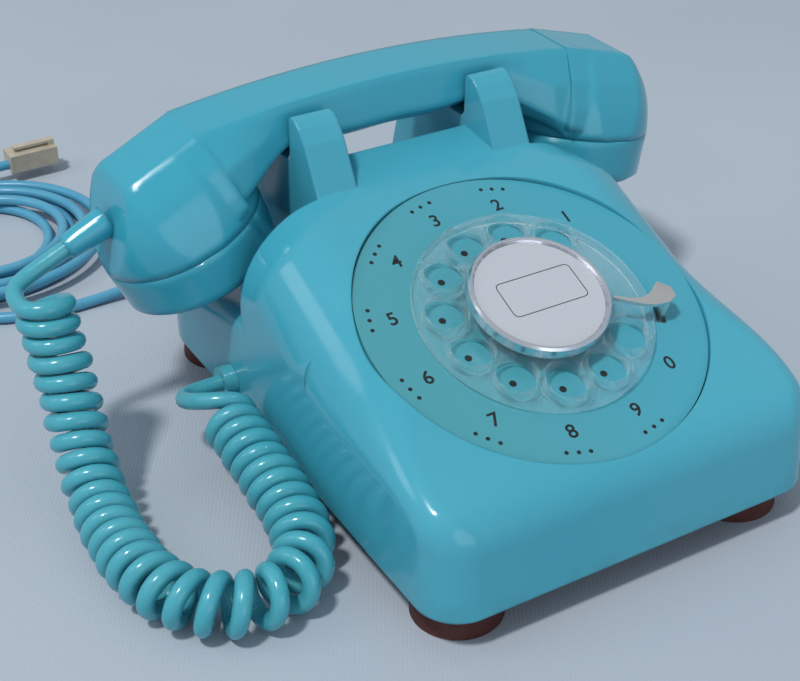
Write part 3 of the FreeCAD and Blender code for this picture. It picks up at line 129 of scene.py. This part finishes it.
class Finish:
    """A material with one shader, and short ways to vary its colour, roughness and relief.

    A noise has its scale in patches per metre, then its detail.
    """

    def __init__(self, name, colour, roughness, **sockets):
        self.material = bpy.data.materials.new(name)
        self.material.use_nodes = True
        self.tree = self.material.node_tree
        self.shader = self.tree.nodes["Principled BSDF"]
        self.set("Base Color", colour)
        self.set("Roughness", roughness)
        for socket, value in sockets.items():
            self.set(socket.replace("_", " "), value)
        self.place = self.node("TexCoord").outputs["Object"]
        self.relief = None

    def set(self, socket, value):
        self.shader.inputs[socket].default_value = value

    def node(self, kind, **inputs):
        """A new node, with its inputs set."""
        node = self.tree.nodes.new("ShaderNode" + kind)
        for socket, value in inputs.items():
            node.inputs[socket.replace("_", " ")].default_value = value
        return node

    def link(self, output, target):
        self.tree.links.new(output, target)

    def mapped(self, **inputs):
        mapping = self.node("Mapping", **inputs)
        self.link(self.place, mapping.inputs["Vector"])
        return mapping.outputs["Vector"]

    def noise(self, scale, detail, stretch=None):
        node = self.node("TexNoise", Scale=scale, Detail=detail)
        self.link(self.mapped(Scale=stretch) if stretch else self.place, node.inputs["Vector"])
        return node.outputs["Fac"]

    def along(self, axis):
        node = self.node("SeparateXYZ")
        self.link(self.place, node.inputs[0])
        return node.outputs[axis]

    def span(self, value, start, end, low=0.0, high=1.0):
        """Carries a value from one range to another, and holds it at the ends."""
        node = self.node("MapRange", From_Min=start, From_Max=end, To_Min=low, To_Max=high)
        self.link(value, node.inputs["Value"])
        return node.outputs["Result"]

    def patches(self, scale, detail, reach, low=0.0, high=1.0):
        """A noise, carried from its reach to another range."""
        return self.span(self.noise(scale, detail), *reach, low, high)

    def times(self, first, second):
        node = self.node("Math")
        node.operation = "MULTIPLY"
        self.link(first, node.inputs[0])
        self.link(second, node.inputs[1])
        return node.outputs[0]

    def blend(self, factor, first, second):
        """Mixes two colours; each is a constant or another node's output."""
        node = self.node("Mix")
        node.data_type = "RGBA"
        self.link(factor, node.inputs["Factor"])
        for socket, value in ((node.inputs[6], first), (node.inputs[7], second)):
            if isinstance(value, bpy.types.NodeSocket):
                self.link(value, socket)
            else:
                socket.default_value = value
        return node.outputs[2]

    def colour(self, output):
        self.link(output, self.shader.inputs["Base Color"])

    def roughness(self, output):
        self.link(output, self.shader.inputs["Roughness"])

    def soften(self, radius):
        """Rounds the look of sharp edges, for the relief that is added next."""
        node = self.node("Bevel", Radius=radius)
        node.samples = BEVEL_SAMPLES
        self.relief = node.outputs["Normal"]

    def bump(self, output, distance, strength):
        """Adds relief of a real depth to what is there already."""
        node = self.node("Bump", Distance=distance, Strength=strength)
        self.link(output, node.inputs["Height"])
        if self.relief is not None:
            self.link(self.relief, node.inputs["Normal"])
        self.relief = node.outputs["Normal"]
        self.link(self.relief, self.shader.inputs["Normal"])


def moulded(name, colour, faded, gloss, edge):
    """Telephone plastic: faded in broad patches, faintly wavy, finely rubbed, with grime low down."""
    finish = Finish(name, colour, gloss)
    finish.soften(edge)
    tone = finish.blend(finish.patches(scale=9, detail=2, reach=FADING), colour, faded)
    mottle = finish.patches(scale=300, detail=4, reach=MOTTLE, high=0.09)
    tone = finish.blend(mottle, tone, shade(colour, 0.85))
    low_down = finish.span(finish.along("Z"), GRIME_FULL, GRIME_END, low=1, high=0)
    grime = finish.times(low_down, finish.patches(scale=90, detail=4, reach=PEAKS, high=0.4))
    finish.colour(finish.blend(grime, tone, GRIME))
    rubbed = finish.patches(scale=70, detail=6, reach=MOTTLE, low=gloss - 0.03, high=gloss + 0.08)
    finish.roughness(rubbed)
    finish.bump(finish.noise(scale=18, detail=1), distance=0.4 * MM, strength=0.2)
    finish.bump(finish.noise(scale=700, detail=2), distance=0.02 * MM, strength=0.25)
    return finish.material


def ring_plastic(name, colour, faded, green):
    """The number plate: the same plastic, turned greener towards its left side."""
    finish = Finish(name, colour, roughness=0.34)
    tone = finish.blend(finish.patches(scale=14, detail=2, reach=FADING), colour, faded)
    side = finish.span(finish.along("X"), GREEN_FULL, GREEN_END, low=1.0, high=GREEN_LEAST)
    finish.colour(finish.blend(side, tone, green))
    finish.roughness(finish.patches(scale=120, detail=5, reach=MOTTLE, low=0.24, high=0.36))
    finish.bump(finish.noise(scale=900, detail=2), distance=0.02 * MM, strength=0.3)
    return finish.material


def clear(name, tint, roughness, solidity):
    """Clear acrylic with fine scratches: light passes straight through its faces more than its rims, whose
    whiter veil is partly real reflection and partly a painted glint.
    """
    finish = Finish(name, tint, roughness, IOR=ACRYLIC_BEND, Alpha=solidity)
    finish.set("Transmission Weight", ACRYLIC_PASS)
    # Partly real, partly painted: the white veil turns solid towards the rims, a painted glint over the
    # real grazing reflection.
    facing = finish.node("LayerWeight", Blend=RIM_BLEND).outputs["Facing"]
    solid_with_painted_glint = finish.span(facing, *RIM_REACH, low=solidity * FACE_SHARE, high=solidity * RIM_GLINT_SHARE)
    finish.link(solid_with_painted_glint, finish.shader.inputs["Alpha"])
    scratches = finish.noise(scale=700, detail=4, stretch=SCRATCH_STRETCH)
    finish.roughness(finish.span(scratches, *PEAKS, low=roughness, high=roughness + 0.05))
    finish.bump(finish.noise(scale=120, detail=2), distance=0.1 * MM, strength=0.2)
    return finish.material


def metal(name, colour, roughness, wear=METAL_WEAR):
    """Plated or plain metal with fine brushing and dull patches."""
    finish = Finish(name, colour, roughness, Metallic=1.0)
    dull = finish.patches(scale=60, detail=4, reach=(0.42, 0.72))
    finish.colour(finish.blend(dull, colour, shade(colour, 1 - wear)))
    lines = finish.noise(scale=900, detail=3, stretch=BRUSH_STRETCH)
    finish.roughness(finish.span(lines, *GRAIN, low=roughness - 0.05, high=roughness + 0.07))
    finish.bump(lines, distance=0.01 * MM, strength=0.3)
    return finish.material


def rubber(name, colour, pale):
    """Dull moulded rubber with a dusty bloom and a grain."""
    finish = Finish(name, colour, roughness=0.62, Specular_IOR_Level=0.35)
    bloom = finish.patches(scale=70, detail=5, reach=(0.42, 0.75), high=0.7)
    finish.colour(finish.blend(bloom, colour, pale))
    grain = finish.noise(scale=1400, detail=3)
    finish.roughness(finish.span(grain, *GRAIN, low=0.52, high=0.72))
    finish.bump(grain, distance=0.08 * MM, strength=0.6)
    return finish.material


def vinyl(name, colour, worn, gloss):
    """Cord jacket: smooth vinyl, uneven in tone, with a faint grain."""
    finish = Finish(name, colour, gloss)
    tone = finish.blend(finish.patches(scale=38, detail=3, reach=(0.36, 0.7)), colour, worn)
    soil = finish.patches(scale=240, detail=4, reach=(0.5, 0.8), high=0.35)
    finish.colour(finish.blend(soil, tone, shade(worn, 0.75)))
    finish.roughness(finish.patches(scale=500, detail=3, reach=GRAIN, low=gloss - 0.05, high=gloss + 0.1))
    finish.bump(finish.noise(scale=1800, detail=2), distance=0.04 * MM, strength=0.6)
    return finish.material


def plain_plastic(name, colour, roughness):
    """Small moulded pieces."""
    finish = Finish(name, colour, roughness)
    tone = finish.patches(scale=160, detail=4, reach=MOTTLE)
    finish.colour(finish.blend(tone, colour, shade(colour, 0.8)))
    rubbed = finish.patches(scale=500, detail=3, reach=GRAIN, low=roughness - 0.08, high=roughness + 0.12)
    finish.roughness(rubbed)
    finish.bump(finish.noise(scale=1600, detail=2), distance=0.05 * MM, strength=0.6)
    return finish.material


def card_stock(name):
    """White card with a fine paper fibre."""
    finish = Finish(name, linear(184, 189, 198), roughness=0.55)
    fibre = finish.noise(scale=2600, detail=4)
    finish.colour(finish.blend(finish.span(fibre, *GRAIN), linear(186, 191, 200), linear(178, 182, 190)))
    finish.roughness(finish.span(fibre, *GRAIN, low=0.5, high=0.7))
    finish.bump(fibre, distance=0.02 * MM, strength=0.5)
    return finish.material


def ink(name):
    """Printing ink, rubbed thin in places."""
    finish = Finish(name, linear(22, 24, 27), roughness=0.45)
    thin = finish.patches(scale=1500, detail=4, reach=(0.45, 0.8), high=0.5)
    finish.colour(finish.blend(thin, linear(20, 22, 25), linear(58, 70, 74)))
    finish.roughness(finish.span(thin, start=0.0, end=0.5, low=0.4, high=0.6))
    finish.bump(thin, distance=0.01 * MM, strength=0.4)
    return finish.material


AQUA = linear(64, 160, 182)
AQUA_FADED = linear(74, 165, 186)
HANDSET_AQUA = linear(58, 160, 183)
RING_AQUA = linear(70, 157, 179)
RING_GREEN = linear(74, 151, 162)
CURLY_TEAL = linear(66, 160, 176)
LINE_BLUE = linear(74, 154, 188)
GRIME = linear(58, 84, 90)

HOUSING = moulded("housing_plastic", AQUA, AQUA_FADED, gloss=0.15, edge=1.2 * MM)
HANDSET = moulded("handset_plastic", HANDSET_AQUA, AQUA, gloss=0.14, edge=4.0 * MM)
RING = ring_plastic("ring_plastic", RING_AQUA, AQUA, RING_GREEN)
CLEAR = clear("clear_acrylic", (0.98, 0.99, 1.0, 1.0), roughness=0.02, solidity=0.33)
COVER = clear("cover_acrylic", (0.98, 0.985, 0.99, 1.0), roughness=0.02, solidity=0.02)
SILVER = metal("bright_ring", linear(236, 238, 244), roughness=0.2, wear=0.06)
NICKEL = metal("stop_metal", linear(232, 228, 224), roughness=0.36)
STEEL = metal("sheet_steel", linear(150, 154, 158), roughness=0.36)
BRASS = metal("brass", linear(196, 164, 96), roughness=0.3)
FOOT = rubber("foot_rubber", linear(70, 30, 26), linear(96, 56, 50))
CURLY = vinyl("curly_vinyl", CURLY_TEAL, linear(78, 166, 181), gloss=0.2)
LINE = vinyl("line_vinyl", LINE_BLUE, linear(90, 164, 194), gloss=0.3)
PLUG = plain_plastic("plug_plastic", linear(190, 180, 160), roughness=0.36)
DARK = plain_plastic("dark_plastic", linear(38, 38, 40), roughness=0.45)
CASE = plain_plastic("network_case", linear(70, 72, 76), roughness=0.5)
WRAP = plain_plastic("coil_wrap", linear(120, 84, 44), roughness=0.6)
CARD = card_stock("card_stock")
INK = ink("printing_ink")

FINISHES = {
    HOUSING: ["housing"],
    HANDSET: ["handset_handle", "receiver_cap", "transmitter_cap", "handset_cord_bushing"],
    RING: ["dial_number_ring"],
    CLEAR: ["finger_wheel", "plunger_left", "plunger_right"],
    COVER: ["card_cover"],
    SILVER: ["card_ring"],
    NICKEL: ["finger_stop"],
    STEEL: ["base_plate", "housing_screws", "dial_shaft", "pulse_shaft", "dial_frame", "dial_back_plate",
            "return_spring_barrel", "dial_bracket", "hook_lever", "line_switch_frame", "gong_posts",
            "gong_screws", "ringer_frame", "receiver_capsule", "transmitter_capsule"],
    BRASS: ["main_gear", "pulse_pinion", "governor_weights", "governor_cup", "dial_pillars",
            "dial_contact_springs", "line_switch_contacts", "gong_front", "gong_rear", "clapper",
            "network_terminals"],
    FOOT: ["base_feet"],
    CURLY: ["handset_cord", "handset_cord_grommet"],
    LINE: ["line_cord", "line_cord_coil", "line_cord_grommet"],
    PLUG: ["line_plug"],
    DARK: ["pulse_cam", "volume_wheel", "transmitter_cup"],
    CASE: ["network_block"],
    WRAP: ["ringer_coil"],
    CARD: ["number_card"],
}
for finish, names in FINISHES.items():
    for name in names:
        for slot in NODES[name].material_slots:
            slot.material = finish


# Pieces.

def piece(name, mesh, finish, body):
    obj = shown(name, mesh)
    mesh.materials.clear()
    mesh.materials.append(finish)
    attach(obj, body)
    return obj


# Cords.

TUBE_SIDES = 14


def steered(points, resolution, radius=0.0):
    """A curve with one open spline, round where it has a radius."""
    curve = bpy.data.curves.new("line", "CURVE")
    curve.dimensions = "3D"
    curve.resolution_u = resolution
    curve.bevel_depth = radius
    curve.bevel_resolution = (TUBE_SIDES - 4) // 2
    curve.use_fill_caps = True
    spline = curve.splines.new("NURBS")
    spline.points.add(len(points) - 1)
    for control, point in zip(spline.points, points):
        control.co = (*point, 1.0)
    spline.order_u = 3
    spline.use_endpoint_u = True
    return bpy.data.objects.new("line", curve)


def smooth_line(points, resolution):
    """Points along the smooth line that these points steer."""
    obj = steered(points, resolution)
    mesh = bpy.data.meshes.new_from_object(obj)
    line = [vertex.co.copy() for vertex in mesh.vertices]
    bpy.data.meshes.remove(mesh)
    bpy.data.objects.remove(obj)
    return line


def tube(points, radius, resolution):
    obj = steered(points, resolution, radius)
    mesh = bpy.data.meshes.new_from_object(obj)
    bpy.data.objects.remove(obj)
    for polygon in mesh.polygons:
        polygon.use_smooth = True
    return mesh


def ease(share):
    """Rises smoothly from 0 to 1 as the share does."""
    share = min(1.0, max(0.0, share))
    return share * share * (3 - 2 * share)


# Curly cord: its curls, their unevenness, and how their spacing follows the inner side of a bend.
CURL_RADIUS = 7.3 * MM
CURL_COUNT = 33.25
CURL_TUBE = 2.9 * MM
CURL_STEPS = 16
CURL_UNEVEN = 0.025
CURL_RIPPLE = 0.37
CURL_CROWD = 6.8 * MM
CURL_LEAST = 0.3
CURL_SIDE = Vector((-1, 0, 0))
CURLY_START = [(-115.85, 54.6, 74.1), (-121, 54.3, 72), (-128, 53.8, 69.2), (-133.8, 52.2, 67.2),
               (-136.6, 48.6, 66)]
CURLY_ROUTE = [(-129.3, 42, 65.4), (-128.6, 38.5, 52), (-128, 32.5, 39), (-129, 24, 26),
               (-130.6, 10.5, 15), (-132.3, -6, 11), (-133.2, -22, 10.6), (-131.5, -41, 10.5),
               (-124, -55, 10.5), (-111, -63, 10.5), (-97, -62, 10.6), (-86, -52, 11.2), (-82.5, -38, 13),
               (-82.2, -22, 16), (-82.2, -6, 19), (-82.2, 4, 20.3), (-82.2, 12, 20.8)]
CURLY_END = [(-81.5, 11.8, 28.1), (-86, 14, 28), (-90.3, 18.5, 26.5), (-92, 25, 23.5), (-89.5, 30.5, 21.5),
             (-83.5, 32, 21), (-75.4, 32, 21)]
CURLY_ROUTE_STEPS = 30
CURLY_TUBE_STEPS = 3


def curled(line):
    """Winds a line into curls, close together along its inner side."""
    steps = [(after - before).length for before, after in zip(line, line[1:])]
    ways = [(after - before).normalized() for before, after in zip(line, line[1:])]
    rates = []
    for step, before, after in zip(steps, [ways[0]] + ways, ways):
        rates.append(max(step - CURL_CROWD * before.angle(after, 0), CURL_LEAST * step))
    normal = CURL_SIDE
    frames = []
    angle = 0.0
    for place, way, rate in zip(line, ways, rates):
        normal = (normal - way * normal.dot(way)).normalized()
        frames.append((angle, place, way, normal.copy()))
        angle += 2 * math.pi * CURL_COUNT * rate / sum(rates)
    points = []
    goal = 0.0
    for (angle, place, way, normal), (after, ahead, _, _) in zip(frames, frames[1:]):
        while goal < after:
            centre = place.lerp(ahead, (goal - angle) / (after - angle))
            radius = CURL_RADIUS * (1 + CURL_UNEVEN * math.sin(CURL_RIPPLE * goal))
            side = normal * math.cos(goal) - way.cross(normal) * math.sin(goal)
            points.append(centre + side * radius)
            goal += 2 * math.pi / CURL_STEPS
    return points


def curly_cord():
    start = [spot(*point) for point in CURLY_START]
    middle = smooth_line([spot(*point) for point in CURLY_ROUTE], CURLY_ROUTE_STEPS)
    points = start + curled(middle) + [spot(*point) for point in CURLY_END]
    path = smooth_line(points, CURLY_TUBE_STEPS)
    mesh = tube(points, CURL_TUBE, CURLY_TUBE_STEPS)
    cord = piece("curly_cord", mesh, CURLY, "base")
    cord.parent = None
    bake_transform(cord)
    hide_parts("handset_cord")


# Line cord: a run, flat loops in two layers (millimetres and quarter turns) and a tail to the plug.
LINE_RADIUS = 2.15 * MM
LINE_ROUTE = [(-45, 108, 18.2), (-45, 121, 18.2), (-55, 136, 6), (-76, 137.2, 2.15), (-104, 136.2, 2.15),
              (-134.3, 149.3, 2.15)]
LINE_TAIL = [(-103, 262.5, 7.15), (-90, 262.7, 7.15), (-76, 262.8, 7.15)]
LINE_PATH_STEPS = 6
LINE_TUBE_STEPS = 5
HANK_CENTRE = (-112, 207)
HANK_START = 225.0
HANK_QUARTERS = 25.5
HANK_STEPS = 4
HANK_INNER = 30.0
HANK_PITCH = 2.0
HANK_BACK = 13
HANK_CLIMB = 2
HANK_OFFSET = 0.8
HANK_LOW = 2.15
HANK_HIGH = 7.15
HANK_FIRM_START = 2
HANK_FIRM_END = 3
HANK_SWAY = (5, -4)
HANK_WAVE = 1.2
HANK_WAVE_RATE = 1.1
HANK_RIPPLE = 0.5
HANK_RIPPLE_RATE = 2.3


def hank_point(quarter):
    """A place on the loops, in quarter turns: the lower layer winds in and the upper winds out."""
    climb = ease((quarter - HANK_BACK) / HANK_CLIMB + 0.5)
    radius = HANK_INNER + HANK_PITCH * abs(quarter - HANK_BACK)
    if quarter >= HANK_BACK:
        radius += HANK_OFFSET
    loose = ease(quarter / HANK_FIRM_START) * ease((HANK_QUARTERS - quarter) / HANK_FIRM_END)
    wave = HANK_WAVE * math.sin(HANK_WAVE_RATE * quarter)
    ripple = HANK_RIPPLE * math.sin(HANK_RIPPLE_RATE * quarter)
    radius += loose * (wave + ripple)
    turn = math.radians(HANK_START - 90 * quarter)
    x = HANK_CENTRE[0] + HANK_SWAY[0] * climb * loose + radius * math.cos(turn)
    y = HANK_CENTRE[1] + HANK_SWAY[1] * climb * loose + radius * math.sin(turn)
    return spot(x, y, HANK_LOW + (HANK_HIGH - HANK_LOW) * climb)


def line_cord():
    loops = [hank_point(number / HANK_STEPS) for number in range(1, int(HANK_QUARTERS * HANK_STEPS) + 1)]
    route = [spot(*point) for point in LINE_ROUTE] + loops + [spot(*point) for point in LINE_TAIL]
    path = smooth_line(route, LINE_PATH_STEPS)
    mesh = tube(route, LINE_RADIUS, LINE_TUBE_STEPS)
    cord = piece("line_cord_run", mesh, LINE, "base")
    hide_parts("line_cord", "line_cord_coil")


curly_cord()
line_cord()


# Dial printing: plain numbers, dots and marks on the plate, and an empty frame on the card.

# The dial's own frame: right, up along its slope, and out along its axis.
dial_joint = next(joint for joint in frame["joints"] if joint["name"] == "dial_spin")
dial_axis = Vector(dial_joint["axis"]).normalized()
dial_right = Vector((1, 0, 0))
dial_up = dial_axis.cross(dial_right)
DIAL = Matrix((dial_right, dial_up, dial_axis)).transposed().to_4x4()
DIAL.translation = Vector(dial_joint["pos_m"])

DIGITS = "1234567890"
MARKED_DIGITS = "23456789"
DIGIT_HEIGHT = 4.9 * MM
DIGIT_SHARE = 0.72
DIGIT_BOLD = 0.11 * MM
DIGIT_CIRCLE = 45.3 * MM
DIGIT_START = 43.5
HOLE_PITCH = 30.0
HOLE_CIRCLE = 29.9 * MM
HOLE_START = 46.5
DOT_RADIUS = 1.2 * MM
MARK_CIRCLE = 52.6 * MM
MARK_RADIUS = 0.7 * MM
MARK_PITCH = 4.2
MARK_SIDES = 20
INK_THICK = 0.03 * MM
CARD_TOP = 9.0 * MM
CARD_FACE = 20.8 * MM
CARD_SIDES = 64
FRAME_HALF_WIDTH = 13.5 * MM
FRAME_HALF_HEIGHT = 6.6 * MM
FRAME_CORNER = 1.6 * MM
FRAME_CORNER_STEPS = 6
FRAME_LINE = 0.28 * MM
FRAME_RIGHT = 1.5 * MM
FRAME_UP = 1.0 * MM


def joined(meshes):
    """One mesh of several."""
    form = bmesh.new()
    for mesh in meshes:
        form.from_mesh(mesh)
        bpy.data.meshes.remove(mesh)
    return mesh_of(form, "print")


def printed_digit(text, right, up):
    curve = bpy.data.curves.new("digit", "FONT")
    curve.body = text
    curve.align_x = "CENTER"
    curve.align_y = "CENTER"
    curve.size = DIGIT_HEIGHT / DIGIT_SHARE
    curve.offset = DIGIT_BOLD
    curve.extrude = INK_THICK
    obj = bpy.data.objects.new("digit", curve)
    mesh = bpy.data.meshes.new_from_object(obj)
    bpy.data.objects.remove(obj)
    mesh.transform(DIAL @ Matrix.Translation((right, up, 0)))
    return mesh


def thin_disc(right, up, out, radius, sides):
    form = bmesh.new()
    bmesh.ops.create_cone(form, cap_ends=True, segments=sides, radius1=radius, radius2=radius,
                          depth=2 * INK_THICK)
    mesh = mesh_of(form, "disc")
    mesh.transform(DIAL @ Matrix.Translation((right, up, out)))
    return mesh


def on_circle(radius, degrees):
    return radius * math.cos(math.radians(degrees)), radius * math.sin(math.radians(degrees))


def printed_dot(circle, degrees, radius):
    return thin_disc(*on_circle(circle, degrees), 0, radius, MARK_SIDES)


def dial_print():
    """Each number, and for most a dot under its finger hole and three marks outside it."""
    marks = []
    for number, text in enumerate(DIGITS):
        middle = DIGIT_START + HOLE_PITCH * number
        marks.append(printed_digit(text, *on_circle(DIGIT_CIRCLE, middle)))
        if text in MARKED_DIGITS:
            marks.append(printed_dot(HOLE_CIRCLE, HOLE_START + HOLE_PITCH * number, DOT_RADIUS))
            for place in (-1, 0, 1):
                marks.append(printed_dot(MARK_CIRCLE, middle + MARK_PITCH * place, MARK_RADIUS))
    piece("dial_print", joined(marks), INK, "base")


def card_face():
    """The white face that fills the bright ring, over the card and the ring's ledge."""
    mesh = thin_disc(0, 0, CARD_TOP + INK_THICK, CARD_FACE, CARD_SIDES)
    piece("card_face", mesh, CARD, "dial")


def card_frame():
    """The blank box on the card: a thin rounded rectangle."""
    corner_right = FRAME_HALF_WIDTH - FRAME_CORNER
    corner_up = FRAME_HALF_HEIGHT - FRAME_CORNER
    form = bmesh.new()
    rings = []
    for radius in (FRAME_CORNER, FRAME_CORNER + FRAME_LINE):
        ring = []
        for quarter, (x, y) in enumerate(((1, 1), (-1, 1), (-1, -1), (1, -1))):
            for step in range(FRAME_CORNER_STEPS + 1):
                right, up = on_circle(radius, 90 * quarter + 90 * step / FRAME_CORNER_STEPS)
                ring.append(form.verts.new((x * corner_right + right, y * corner_up + up, 0)))
        rings.append(ring)
    inner, outer = rings
    for index in range(len(inner)):
        after = (index + 1) % len(inner)
        form.faces.new((inner[index], outer[index], outer[after], inner[after]))
    bmesh.ops.solidify(form, geom=form.faces[:], thickness=INK_THICK)
    mesh = mesh_of(form, "card_frame")
    mesh.transform(DIAL @ Matrix.Translation((FRAME_RIGHT, FRAME_UP, CARD_TOP + 3 * INK_THICK)))
    piece("card_frame", mesh, INK, "dial")


dial_print()
card_face()
card_frame()


# Floor, light and camera.

FLOOR_HALF = 2.5
FLOOR_SQUARES = 8
FLOOR_DROP = 0.3 * MM
RIB_TURN = math.radians(30)
RIB_SCALE = 250
RIB_DISTORTION = 1.5
RIB_DETAIL = 3
WORLD_TINT = (0.84, 0.92, 1.0, 1.0)
WORLD_STRENGTH = 0.47
LAMP_TARGET = Vector((0, 0, 0.05))

# The photograph's width in pixels and the camera that took it.
IMAGE_WIDTH = 800
FOCAL_PIXELS = 1532.0
SENSOR_WIDTH = 36.0
CAMERA_PLACE = spot(-241.2, -373.8, 314.0)
CAMERA_AZIMUTH = math.radians(-30.27)
CAMERA_ELEVATION = math.radians(32.47)
CAMERA_ROLL = math.radians(0.25)
CAMERA_NEAR = 10 * MM


def cloth(name):
    """Plain pale cloth with a fine ribbed relief."""
    finish = Finish(name, linear(174, 184, 195), roughness=0.9, Specular_IOR_Level=0.1)
    ribs = finish.node("TexWave", Scale=RIB_SCALE, Distortion=RIB_DISTORTION, Detail_Scale=RIB_DETAIL)
    finish.link(finish.mapped(Rotation=(0, 0, RIB_TURN)), ribs.inputs["Vector"])
    patches = finish.patches(scale=3, detail=3, reach=MOTTLE)
    finish.colour(finish.blend(patches, linear(175, 185, 196), linear(168, 178, 190)))
    finish.bump(ribs.outputs["Fac"], distance=0.4 * MM, strength=0.12)
    finish.bump(finish.noise(scale=600, detail=4), distance=0.4 * MM, strength=0.25)
    return finish.material


def floor():
    """A floor that fills the view, just under the object."""
    form = bmesh.new()
    bmesh.ops.create_grid(form, x_segments=FLOOR_SQUARES, y_segments=FLOOR_SQUARES, size=FLOOR_HALF)
    mesh = mesh_of(form, "floor")
    mesh.materials.append(cloth("floor_cloth"))
    obj = shown("floor", mesh)
    obj.location.z = -FLOOR_DROP


def lamp(name, place, power, width, tint):
    light = bpy.data.lights.new(name, "AREA")
    light.energy = power
    light.shape = "DISK"
    light.size = width
    light.color = tint
    obj = shown(name, light)
    obj.location = place
    obj.rotation_euler = (LAMP_TARGET - Vector(place)).to_track_quat("-Z", "Y").to_euler()


def studio():
    world = bpy.data.worlds.new("studio")
    world.use_nodes = True
    backdrop = world.node_tree.nodes["Background"]
    backdrop.inputs["Color"].default_value = WORLD_TINT
    backdrop.inputs["Strength"].default_value = WORLD_STRENGTH
    bpy.context.scene.world = world
    lamp("key", place=(-2.0, -0.8, 4.2), power=134.0, width=0.52, tint=(1.0, 0.985, 0.965))
    lamp("fill", place=(0.0, -1.6, 0.36), power=3.9, width=1.2, tint=(0.94, 0.97, 1.0))
    lamp("back", place=(-1.1, 0.44, 0.95), power=1.6, width=0.55, tint=(0.95, 0.98, 1.0))


def camera():
    level = math.cos(CAMERA_ELEVATION)
    back = Vector((math.sin(CAMERA_AZIMUTH) * level, -math.cos(CAMERA_AZIMUTH) * level,
                   math.sin(CAMERA_ELEVATION)))
    right = (-back).cross(Vector((0, 0, 1))).normalized()
    down = (-back).cross(right)
    across = right * math.cos(CAMERA_ROLL) + down * math.sin(CAMERA_ROLL)
    below = down * math.cos(CAMERA_ROLL) - right * math.sin(CAMERA_ROLL)
    pose = Matrix((across, -below, back)).transposed().to_4x4()
    pose.translation = CAMERA_PLACE
    data = bpy.data.cameras.new("camera")
    data.sensor_fit = "HORIZONTAL"
    data.sensor_width = SENSOR_WIDTH
    data.lens = FOCAL_PIXELS * SENSOR_WIDTH / IMAGE_WIDTH
    data.clip_start = CAMERA_NEAR
    obj = shown("camera", data)
    obj.matrix_world = pose
    bpy.context.scene.camera = obj


floor()
studio()
camera()
bpy.context.scene.view_settings.view_transform = "Standard"
